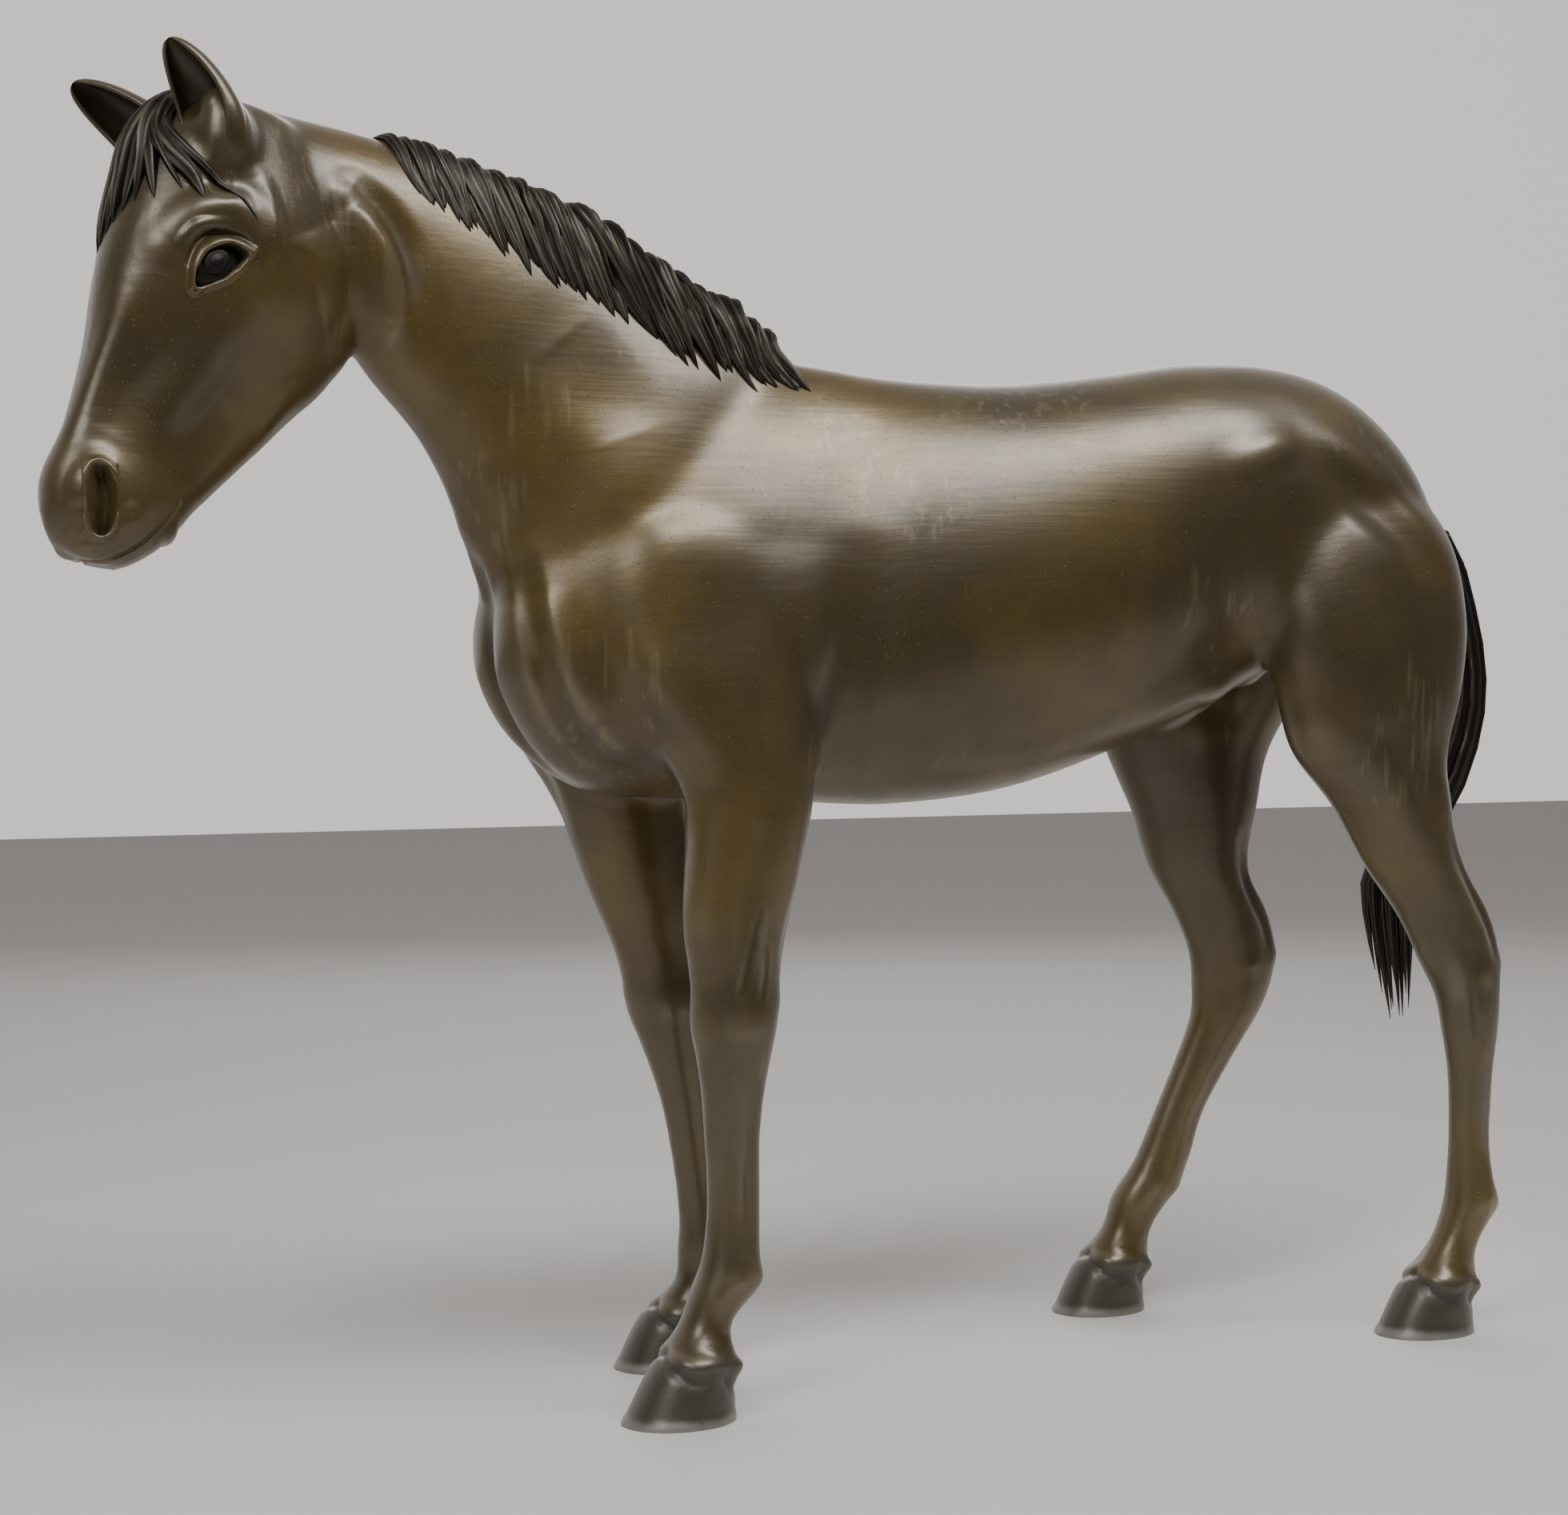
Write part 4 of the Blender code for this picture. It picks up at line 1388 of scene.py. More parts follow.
    def model_neck(self, clay: Clay) -> None:
        """Models the jugular groove, the band and valley behind the cheek, and the throat.

        Args:
            clay: The skin.
        """
        strokes = (
            (((-256, 460), (-246, 444), (-237, 424), (-226, 398), (-212, 370)), 16, -1.9),
            (((-262, 458), (-252, 443), (-245, 430), (-242, 416)), 12, 2.0),
            (((-263, 455), (-255, 438), (-252, 421), (-257, 408)), 11, -4.0),
            (((-180, 414), (-166, 396), (-158, 376)), 24, -1.8),
        )
        for side in (-1, 1):
            back = 8.0 if side > 0 else 0.0
            for path, width, depth in strokes:
                clay.stroke([clay.pin(x + back, z, side) for x, z in path], width, depth)
        throat = [Vector((-214, 0, 352)), Vector((-214, 0, 330)), Vector((-212, 0, 316))]
        clay.stroke(throat, 12, 2.0)


def refine(skin: bpy.types.Object, chosen: np.ndarray) -> None:
    """Divides the chosen faces in two each way.

    Args:
        skin: The mesh to refine.
        chosen: Whether each vertex lies where finer faces are needed.
    """
    mesh = skin.data
    corners = np.empty(len(mesh.loops), np.int32)
    mesh.loops.foreach_get("vertex_index", corners)
    starts = np.empty(len(mesh.polygons), np.int32)
    mesh.polygons.foreach_get("loop_start", starts)
    picked = np.logical_and.reduceat(chosen[corners], starts)
    bpy.context.tool_settings.mesh_select_mode = (False, False, True)
    with editing(skin):
        bpy.ops.mesh.select_all(action="DESELECT")
    mesh.polygons.foreach_set("select", picked)
    with editing(skin):
        bpy.ops.mesh.subdivide(number_cuts=1)


@dataclass
class HeadModelling:
    """Models the head's bones, eyes, nostrils and mouth on the skin.

    Args:
        eye_front: The eye's front corner, down the face and out from it.
        eye_length: The eye's length.
        eye_left: How far from the middle the eyeball's centre lies.
        eye_radius: The eyeball's radius.
        iris: The iris's radius.
        eye_middle: The eyeball's centre: a share of the length, and above the lower lid.
        lid_left: How far from the middle the lids are drawn, before they meet the skin.
        socket_depth: How deep the opening is.
        middle: The middle of the head's finer faces: down, out and to the left.
        middle_reach: How far the finer faces and the smoothing reach from it.
        neck_side: The drawn x behind which no face is made finer or smoothed.
        nostril: The middle of the left nostril's finest faces.
        fine_reach: How far the finest faces reach from each eye and each nostril.
    """

    eye_front: Pair = (70.0, -12.5)
    eye_length: float = 25.0
    eye_left: float = 19.0
    eye_radius: float = 10.5
    iris: float = 4.9
    eye_middle: Pair = (0.56, 3.2)
    lid_left: float = 29.0
    socket_depth: float = 5.0
    middle: Triple = (80.0, -34.0, 0.0)
    middle_reach: Pair = (118.0, 116.0)
    neck_side: Pair = (-248.0, -250.0)
    nostril: Triple = (150.0, -8.0, 14.0)
    fine_reach: Pair = (21.0, 15.0)

    def eye_point(self, along: float, above: float, left: float) -> Vector:
        """Finds a point by its place in the eye's opening.

        Args:
            along: How far it lies behind the front corner.
            above: How far above it.
            left: How far to the head's left.

        Returns:
            The drawn point.
        """
        down = self.eye_front[0] - 0.8 * along - 0.6 * above
        out = self.eye_front[1] - 0.6 * along + 0.8 * above
        return HEAD.point(down, out, left)

    def eyeball_centre(self, side: int) -> Vector:
        """The drawn centre of one eyeball, 1 for the left eye or -1 for the right."""
        share, above = self.eye_middle
        return self.eye_point(self.eye_length * share, above, self.eye_left * side)

    def on_skin(self, clay: Clay, points: Sequence[Triple], side: int) -> list[Vector]:
        """Head points moved to the nearest place on the skin.

        Args:
            clay: The skin.
            points: Distances down the face, out from it and to the left.
            side: 1 for the left side or -1 for the right side.

        Returns:
            The points on the skin.
        """
        return [clay.nearest(HEAD.point(*point)) for point in mirrored(points, side)]

    def model(self, skin: bpy.types.Object) -> None:
        """Models the whole head.

        Args:
            skin: The horse's skin.
        """
        in_head = self.head_mask(Clay(skin.data), 0)
        refine(skin, in_head)
        clay = Clay(skin.data)
        in_head = self.head_mask(clay, 1).astype(float)
        clay.relax(3, mask=in_head)
        self.model_bones(clay)
        clay.write()
        clay.relax(4, mask=in_head)
        refine(skin, self.fine_mask(clay, -1, 0.0) | self.fine_mask(clay, 1, 0.0))
        clay = Clay(skin.data)
        for side in (-1, 1):
            clay.relax(2, mask=self.fine_mask(clay, side, 1.0).astype(float))
            self.model_eye(clay, side)
            self.model_nostril(clay, side)
        self.model_mouth(clay)
        clay.write()
        clay.relax(1, 0.35, mask=clay.around(HEAD.point(80, -30, 0), 112.0).astype(float))

    def head_mask(self, clay: Clay, inset: int) -> np.ndarray:
        """Which vertices belong to the head, for its finer faces at 0 or its smoothing at 1."""
        near = clay.around(HEAD.point(*self.middle), self.middle_reach[inset])
        return near & (clay.points[:, 0] < self.neck_side[inset])

    def fine_mask(self, clay: Clay, side: int, inset: float) -> np.ndarray:
        """Finds the vertices near one eye or nostril.

        Args:
            clay: The skin.
            side: 1 for the left side or -1 for the right side.
            inset: How far inside the finest faces they must lie.

        Returns:
            Whether each vertex is near.
        """
        down, out, left = self.nostril
        eye_reach, nostril_reach = self.fine_reach
        near_eye = clay.around(self.eyeball_centre(side), eye_reach - inset)
        return near_eye | clay.around(HEAD.point(down, out, left * side), nostril_reach - inset)

    def model_bones(self, clay: Clay) -> None:
        """Models the cheek, brow, crest and jaw.

        Args:
            clay: The skin.
        """
        strokes = (
            (((26, -52, 30), (38, -62, 30), (48, -56, 30)), 28, 2.6),
            (((10, -66, 21), (24, -78, 20), (42, -87, 18), (60, -86, 15)), 15, 5.0),
            (((2, -62, 24), (10, -76, 23), (22, -86, 21), (36, -92, 18)), 10, -3.0),
            (((56, 0, 22), (42, -6, 27), (36, -18, 29), (42, -34, 30)), 11, 3.0),
            (((46, -34, 30), (34, -32, 29), (20, -24, 27)), 6.5, 1.8),
            (((32, -8, 24), (26, -14, 26)), 9, -2.6),
            (((66, -32, 29), (84, -28, 24), (102, -22, 19), (116, -17, 16)), 15, 2.2),
            (((88, -8, 19), (100, -7, 17), (112, -6, 16), (126, -5, 14)), 15, -2.0),
            (((74, 6, 13), (100, 4, 11), (124, 3, 9)), 9, 1.3),
            (((98, -42, 18), (114, -36, 16), (128, -30, 14)), 15, -1.2),
            (((84, -68, 10), (104, -60, 9)), 9, 1.0),
            (((22, -4, 25), (18, -14, 27)), 8, -1.5),
            (((138, -4, 13), (146, -2, 14), (154, -4, 14)), 9, 2.6),
            (((147, -20, 14), (151, -17, 14)), 4, -1.0),
            (((146, -43, 4), (154, -40, 5)), 10, 2.0),
            (((163, -8, 6), (166, -14, 6)), 8, 1.6),
        )
        for side in (-1, 1):
            for points, width, depth in strokes:
                clay.stroke(self.on_skin(clay, points, side), width, depth)

    def model_eye(self, clay: Clay, side: int) -> None:
        """Opens one eye and models its lids.

        Args:
            clay: The skin.
            side: 1 for the left eye or -1 for the right.
        """
        opening = ((0.09, 1.0), (0.28, 2.6), (0.5, 3.4), (0.72, 3.0), (0.92, 1.2))
        half_heights = (0.9, 3.4, 4.9, 4.3, 1.2)
        upper = ((0.0, 0.3), (0.2, 6.4), (0.45, 9.4), (0.72, 8.7), (0.93, 4.6), (1.04, 0.4))
        lower = ((0.0, -0.8), (0.25, -2.2), (0.5, -2.9), (0.75, -2.4), (1.0, -0.4))
        fold = ((0.12, 9.2), (0.4, 13.0), (0.72, 12.6), (0.98, 7.6), (1.1, 3.2))
        hood = ((0.2, 17.0), (0.55, 18.5), (0.95, 14.0))
        tear = ((0.02, -0.3), (-0.12, -2.0))
        curve = through(self.on_lid(clay, opening, side), 4)
        radii = np.interp(range(17), (0, 4, 8, 12, 16), half_heights)
        share, _ = clay.reach(curve, radii)
        lids = [self.on_lid(clay, run, side) for run in (upper, lower, fold)]
        clay.stroke(lids[0], 3.6, 2.3, taper=False)
        clay.stroke(lids[1], 1.9, 0.8, taper=False)
        clay.stroke(lids[2], 2.2, -1.9)
        clay.stroke(self.on_lid(clay, hood, side), 3.2, 1.2)
        inward = (HEAD.point(0, 0, -1) - HEAD.point(0, 0, 0)) * side
        depth = self.socket_depth * (1.0 - smoothstep(0.8, 1.15, share))
        clay.points += np.array(tuple(inward)) * depth[:, None]
        clay.stroke(self.on_lid(clay, tear, side), 1.6, -1.2)

    def on_lid(self, clay: Clay, run: Sequence[Pair], side: int) -> list[Vector]:
        """Points round one eye, moved to the nearest place on the skin.

        Args:
            clay: The skin.
            run: Shares of the eye's length, and distances above its front corner.
            side: 1 for the left eye or -1 for the right.

        Returns:
            The points on the skin.
        """
        left = self.lid_left * side
        drawn = [self.eye_point(self.eye_length * share, above, left) for share, above in run]
        return [clay.nearest(point) for point in drawn]

    def model_nostril(self, clay: Clay, side: int) -> None:
        """Opens one nostril and raises its rim.

        Args:
            clay: The skin.
            side: 1 for the left nostril or -1 for the right.
        """
        drawn = ((141, -3.6, 15), (146, -5.2, 16), (152, -8.2, 15), (158, -10.6, 14))
        half_widths = (2.6, 5.6, 5.2, 3.2)
        curve = through(self.on_skin(clay, drawn, side), 4)
        share, _ = clay.reach(curve, np.interp(range(13), (0, 4, 8, 12), half_widths))
        rim_height, rim_place, rim_width, hole_depth = 1.2, 1.35, 0.42, 7.5
        lift = rim_height * np.exp(-(((share - rim_place) / rim_width) ** 2))
        clay.points += clay.normals * lift[:, None]
        inward = (HEAD.point(1.5, -4, 0) - HEAD.point(0, 0, 6 * side)).normalized()
        depth = hole_depth * (1.0 - smoothstep(0.1, 1.2, share))
        clay.points += np.array(tuple(inward)) * depth[:, None]

    def model_mouth(self, clay: Clay) -> None:
        """Cuts the mouth from one corner round the lips to the other.

        Args:
            clay: The skin.
        """
        half = ((140, -37, 13), (150, -33, 13), (160, -27, 12), (167, -20, 9), (171, -15, 4))
        left = self.on_skin(clay, half, 1)
        right = self.on_skin(clay, half, -1)
        clay.crease(left + right[::-1], 1.9, 1.5)


@dataclass
class Wear:
    """Marks where the patina is rubbed and where it has gathered.

    Args:
        fine: Rounds of smoothing that find the fine edges and creases.
        broad: Rounds that find the broad swells and hollows.
        hoof: Between which heights the hooves' grey fades out, in millimetres.
        rim: Between which heights the dust on the hooves fades out.
    """

    fine: int = 5
    broad: int = 60
    hoof: Pair = (22.0, 27.0)
    rim: Pair = (0.0, 9.0)

    @staticmethod
    def raised(skin: bpy.types.Object, rounds: int) -> np.ndarray:
        """Measures how far each vertex stands out of a smoother surface.

        Args:
            skin: The skin, which isn't changed.
            rounds: How many times the other surface is smoothed.

        Returns:
            The heights, in millimetres.
        """
        clay = Clay(skin.data)
        smooth = clay.points.copy()
        for _ in range(rounds):
            smooth += (clay.neighbour_mean(smooth) - smooth) * 0.5
        return np.einsum("ij,ij->i", clay.points - smooth, clay.normals)

    def mark_broad(self, skin: bpy.types.Object) -> None:
        """Stores how far the broad forms stand out, while the mesh is even.

        Args:
            skin: The skin, before its head is refined.
        """
        self.store(skin.data, "swell", self.raised(skin, self.broad))

    def mark(self, skin: bpy.types.Object) -> None:
        """Stores the worn, hollow, hoof and rim attributes on the skin.

        Args:
            skin: The modelled skin.
        """
        fine = self.raised(skin, self.fine)
        broad = np.empty(len(skin.data.vertices), np.float32)
        skin.data.attributes["swell"].data.foreach_get("value", broad)
        worn = smoothstep(0.02, 0.2, fine) * 0.7 + smoothstep(0.2, 2.0, broad) * 0.5
        hollow = smoothstep(0.03, 0.25, -fine) * 0.9 + smoothstep(0.2, 2.2, -broad) * 0.6
        heights = DRAWING.drawn(coordinates(skin.data))[:, 2]
        self.store(skin.data, "worn", np.clip(worn, 0.0, 1.0))
        self.store(skin.data, "hollow", np.clip(hollow, 0.0, 1.0))
        self.store(skin.data, "hoof", 1.0 - smoothstep(*self.hoof, heights))
        self.store(skin.data, "rim", 1.0 - smoothstep(*self.rim, heights))

    @staticmethod
    def store(mesh: bpy.types.Mesh, name: str, values: np.ndarray) -> None:
        """Stores one number for each vertex."""
        layer = mesh.attributes.new(name, "FLOAT", "POINT")
        layer.data.foreach_set("value", values.astype(np.float32))


@dataclass(frozen=True)
class Seam:
    """A flat weld seam between two castings.

    Args:
        place: A drawn point on it.
        facing: The direction it faces.
    """

    place: Triple
    facing: Triple

    def cut(self, piece: bpy.types.Object, keep_ahead: bool) -> None:
        """Cuts a piece here, and keeps what lies ahead of the seam or behind it."""
        cut(piece, DRAWING.place(*self.place), self.facing, keep_ahead)


@dataclass
class Castings:
    """Cuts the skin at its weld seams, one piece for each casting.

    Args:
        neck_seam: Where the neck meets the trunk.
        head_seam: Where the head meets the neck.
        leg_seam: Where the legs meet the trunk.
    """

    neck_seam: Seam = Seam((-158.0, 0.0, 380.0), (-0.72, 0.0, 0.69))
    head_seam: Seam = Seam((-262.0, 0.0, 446.0), (-1.0, 0.0, 0.12))
    leg_seam: Seam = Seam((0.0, 0.0, 225.0), (0.0, 0.0, -1.0))

    @staticmethod
    def copy(skin: bpy.types.Object, name: str) -> bpy.types.Object:
        """Copies the skin with its own mesh.

        Args:
            skin: The skin.
            name: The copy's name.

        Returns:
            The copy.
        """
        piece = bpy.data.objects.new(name, skin.data.copy())
        piece.data.name = name
        bpy.context.scene.collection.objects.link(piece)
        return piece

    @staticmethod
    def keep_quarter(piece: bpy.types.Object, front: bool, left: bool) -> None:
        """Keeps one leg of the four.

        Args:
            piece: The four legs.
            front: Whether to keep a foreleg.
            left: Whether to keep a left leg.
        """
        points = DRAWING.drawn(coordinates(piece.data))
        keep = ((points[:, 0] < 0) == front) & ((points[:, 1] < 0) == left)
        bpy.context.tool_settings.mesh_select_mode = (True, False, False)
        with editing(piece):
            bpy.ops.mesh.select_all(action="DESELECT")
        piece.data.vertices.foreach_set("select", ~keep)
        with editing(piece):
            bpy.ops.mesh.delete(type="VERT")

    def build(self, skin: bpy.types.Object, patina: bpy.types.Material) -> list[bpy.types.Object]:
        """Cuts and dresses every casting.

        Args:
            skin: The modelled skin, which is used up.
            patina: The body's finish.

        Returns:
            The castings.
        """
        torso = self.copy(skin, "torso")
        self.leg_seam.cut(torso, keep_ahead=False)
        self.neck_seam.cut(torso, keep_ahead=False)
        neck = self.copy(skin, "neck")
        self.neck_seam.cut(neck, keep_ahead=True)
        self.head_seam.cut(neck, keep_ahead=False)
        head = self.copy(skin, "head")
        self.head_seam.cut(head, keep_ahead=True)
        nodes = {torso: ("torso_casting", "core_window_plate")}
        nodes.update({neck: ("neck_casting",), head: ("head_casting",)})
        legs = self.copy(skin, "legs")
        self.leg_seam.cut(legs, keep_ahead=True)
        for leg in Leg:
            piece = self.copy(legs, leg.value.replace("leg_", "leg_casting_"))
            self.keep_quarter(piece, leg.is_fore(), leg.is_left())
            nodes[piece] = (leg.value,)
        for used in (skin, legs):
            bpy.data.objects.remove(used)
        for piece, replaced in nodes.items():
            dress(piece, patina, "body_patina", *replaced)
        return list(nodes)


def dress(piece: bpy.types.Object, finish: bpy.types.Material, slot: str, *replaced: str) -> None:
    """Finishes a piece and ties it to the part.

    Args:
        piece: The piece.
        finish: Its material.
        slot: Not used.
        replaced: The nodes that it stands for.
    """
    piece.data.materials.clear()
    piece.data.materials.append(finish)
    activate(piece)
    bpy.ops.object.shade_smooth_by_angle(angle=math.radians(60.0))
    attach(piece, BODY)
    if replaced:
        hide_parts(*replaced)
    log.info("%s: %d faces", piece.name, len(piece.data.polygons))


# ------------------------------------------------------------- eyes, ears and hair


@dataclass
class Eye:
    """One eyeball, with its iris and pupil cut into it.

    Args:
        name: The piece's name.
        side: 1 for the left eye or -1 for the right.
        gaze_ahead: How far the iris looks forward of straight out.
        groove: The depth of the ring round the iris.
        groove_width: The half width of that ring.
        pupil: The pupil's radius as a share of the iris's.
        pupil_edge: The half width of the ring round the pupil.
        limbus: How far the clear bulge reaches beyond the iris.
        bulge: How far the clear bulge stands out.
        stretch: How much longer than high the eyeball is, as a share.
    """

    name: str
    side: int
    gaze_ahead: float = 0.16
    groove: float = 0.6
    groove_width: float = 0.55
    pupil: float = 0.42
    pupil_edge: float = 0.6
    limbus: float = 1.5
    bulge: float = 0.5
    stretch: float = 0.28

    def build(self, head: HeadModelling, finish: bpy.types.Material) -> bpy.types.Object:
        """Makes the eyeball.

        Args:
            head: The sizes of the eyes.
            finish: The eye's finish.

        Returns:
            The eyeball.
        """
        centre = head.eyeball_centre(self.side)
        deselect()
        radius = head.eye_radius * DRAWING.size
        bpy.ops.mesh.primitive_uv_sphere_add(segments=72, ring_count=48, radius=radius)
        ball = bpy.context.object
        ball.name = self.name
        origin = HEAD.point(0, 0, 0)
        gaze = (HEAD.point(0, self.gaze_ahead, self.side) - origin).normalized()
        points = coordinates(ball.data) / radius
        turned = np.array(gaze.to_track_quat("Z", "Y").to_matrix())
        off_axis = np.arccos(np.clip(points[:, 2], -1.0, 1.0)) * head.eye_radius
        ring = np.exp(-(((off_axis - head.iris) / self.groove_width) ** 2))
        pupil = np.exp(-(((off_axis - head.iris * self.pupil) / self.pupil_edge) ** 2))
        cornea = 1.0 - smoothstep(0.0, head.iris + self.limbus, off_axis)
        radii = head.eye_radius - self.groove * (ring + 0.8 * pupil) + self.bulge * cornea
        drawn = (points * radii[:, None]) @ turned.T
        lengthwise = head.eye_point(1.0, 0.0, 0.0) - head.eye_point(0.0, 0.0, 0.0)
        length = np.array(tuple(lengthwise.normalized()))
        drawn += (drawn @ length * self.stretch)[:, None] * length
        drawn += np.array(tuple(centre))
        set_coordinates(ball.data, drawn * DRAWING.size + np.array(DRAWING.shift))
        Wear.store(ball.data, "worn", np.clip(cornea * 0.35 - ring - pupil, 0.0, 1.0))
        dress(ball, finish, "body_patina")
        return ball


@dataclass
class Ear:
    """One cupped ear.

    Args:
        name: The piece's name.
        node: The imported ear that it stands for.
        base: The middle of its foot: down the face, out from it and to the left.
        tip: Its tip.
        facing: The way its hollow faces.
        wall: The thickness of its rim.
        wall_share: The most that the wall may be of the half width.
        bend: How far its middle bows backward.
        flatness: Its depth as a share of its width.
        steps: Points from the middle of its back to one edge of the opening.
        shares: The places along its height that the next two are given for.
        widths: Its half width at each place.
        openings: How far its hollow opens at each place, in degrees.
    """

    name: str
    node: str
    base: Triple
    tip: Triple
    facing: Triple
    wall: float = 1.7
    wall_share: float = 0.45
    bend: float = 3.0
    flatness: float = 0.82
    steps: int = 14
    shares: tuple = (-0.4, -0.15, 0.1, 0.3, 0.5, 0.68, 0.82, 0.93, 1.0)
    widths: tuple = (5.0, 10.5, 12.6, 11.8, 10.4, 8.8, 6.9, 4.7, 1.8)
    openings: tuple = (20, 50, 104, 126, 132, 132, 128, 120, 108)

    def row(self, share: float, width: float, opening: float) -> list[Vector]:
        """Lays the points round one level of the ear, its outside and then its inside.

        Args:
            share: The level's height as a share of the ear's.
            width: The half width there.
            opening: How far the hollow opens there, in degrees.

        Returns:
            The drawn points.
        """
        origin = HEAD.point(0, 0, 0)
        foot = HEAD.point(*self.base)
        top = HEAD.point(*self.tip)
        axis = (top - foot).normalized()
        front = (HEAD.point(*self.facing) - origin).normalized()
        front = (front - axis * front.dot(axis)).normalized()
        across = axis.cross(front)
        bend = self.bend * math.sin(math.pi * min(max(share, 0.0), 1.0))
        middle = foot.lerp(top, share) - front * bend
        half = math.radians(180.0 - opening / 2)
        inner = width - min(self.wall, width * self.wall_share)
        turns = range(-self.steps, self.steps + 1)
        row = []
        for radius, order in ((width, turns), (inner, reversed(turns))):
            for turn in order:
                angle = half * turn / self.steps
                back = front * (math.cos(angle) * radius * self.flatness)
                row.append(middle - back + across * (math.sin(angle) * radius))
        return row

    def build(self, finish: bpy.types.Material) -> bpy.types.Object:
        """Makes the ear.

        Args:
            finish: Its finish.

        Returns:
            The ear.
        """
        rows = [self.row(*level) for level in zip(self.shares, self.widths, self.openings)]
        around = len(rows[0])
        points = [DRAWING.place(*point) for row in rows for point in row]
        ear = new_piece(self.name, np.array(points), tube_faces(len(rows), around))
        face_outward(ear)
        apply_modifier(ear, "SUBSURF", levels=2, render_levels=2)
        self.mark(ear)
        dress(ear, finish, "body_patina", self.node)
        return ear

    def mark(self, ear: bpy.types.Object) -> None:
        """Stores where the ear's hollow lies and where its rim is rubbed.

        Args:
            ear: The ear.
        """
        drawn = DRAWING.drawn(coordinates(ear.data))
        foot = np.array(tuple(HEAD.point(*self.base)))
        top = np.array(tuple(HEAD.point(*self.tip)))
        axis = (top - foot) / np.linalg.norm(top - foot)
        front = np.array(tuple(HEAD.point(*self.facing) - HEAD.point(0, 0, 0)))
        front -= axis * (front @ axis)
        front /= np.linalg.norm(front)
        middles = foot + ((drawn - foot) @ axis)[:, None] * axis
        inward = np.einsum("ij,ij->i", vertex_normals(ear.data), middles - drawn)
        rim = 1.0 - np.abs(smoothstep(-4.0, 4.0, inward) * 2.0 - 1.0)
        Wear.store(ear.data, "hollow", smoothstep(0.5, 3.0, inward))
        Wear.store(ear.data, "worn", np.clip(rim * 0.6, 0.0, 1.0))


@dataclass(frozen=True)
class Lock:
    """One lock of hair.

    Args:
        path: Drawn points along its middle.
        width: Its half width at its widest.
        height: How far it stands out.
        ridges: How many strands are engraved round it.
        phase: Where the strands begin.
        root: Its width at the root, as a share of its widest.
    """

    path: tuple
    width: float
    height: float
    ridges: int = 7
    phase: float = 0.0
    root: float = 0.75


@dataclass
class Hair:
    """Ridged locks laid on the skin and joined into one piece.

    Args:
        name: The piece's name.
        node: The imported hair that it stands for.
        rows: Sections along each lock.
        around: Points round each section.
        engraving: The strands' height as a share of the lock's.
        twist: How far the strands turn from root to tip, in radians.
        point: How late a lock narrows to its tip.
    """

    name: str
    node: str
    rows: int = 18
    around: int = 28
    engraving: float = 0.11
    twist: float = 1.6
    point: float = 3.4

    def lock(self, skin: bpy.types.Object, lock: Lock, cling: bool = True) -> bpy.types.Object:
        """Makes one lock.

        Args:
            skin: The skin that it lies on.
            lock: Its path and sizes.
            cling: Whether it lies on the skin, and doesn't hang free.

        Returns:
            The lock.
        """
        curve = through([Vector(point) for point in lock.path], 6)
        places = np.linspace(0, len(curve) - 1, self.rows)
        points: list[Vector] = []
        worn: list[float] = []
        for row, place in enumerate(places):
            index = min(int(place), len(curve) - 2)
            middle = curve[index].lerp(curve[index + 1], place - index)
            along = (curve[index + 1] - curve[index]).normalized()
            share = row / (self.rows - 1)
            if cling:
                hit, found, normal, _ = skin.closest_point_on_mesh(DRAWING.place(*middle))
                middle = Vector(DRAWING.drawn(np.array(found))) if hit else middle
                out = normal
            else:
                out = along.orthogonal()
            out = (out - along * out.dot(along)).normalized()
            across = along.cross(out)
            swell = lock.root + (1.0 - lock.root) * math.sin(math.pi * min(share * 1.25, 0.5))
            size = swell * max(1.0 - share**self.point, 0.03)
            lift = lock.height * (0.15 + 0.35 * math.cos(share * 1.5)) if cling else 0.0
            for step in range(self.around):
                angle = math.tau * step / self.around
                ridge = math.cos(angle * lock.ridges + lock.phase + share * self.twist)
                strand = 1.0 + self.engraving * ridge
                high = math.cos(angle) * lock.height * strand
                wide = math.sin(angle) * lock.width * strand
                points.append(middle + (out * (high + lift) + across * wide) * size)
                worn.append(max(0.0, 0.5 + 0.5 * ridge) * max(0.0, 0.35 + 0.65 * math.cos(angle)))
        placed = np.array([tuple(DRAWING.place(*point)) for point in points])
        piece = new_piece("lock", placed, tube_faces(self.rows, self.around))
        face_outward(piece)
        Wear.store(piece.data, "worn", np.array(worn))
        return piece

    def finish(self, locks: Sequence[bpy.types.Object], finish: bpy.types.Material) -> bpy.types.Object:
        """Joins and dresses the locks.

        Args:
            locks: The locks.
            finish: Their finish.

        Returns:
            The hair.
        """
        piece = join(locks, self.name)
        dress(piece, finish, "hair_patina", self.node)
        return piece


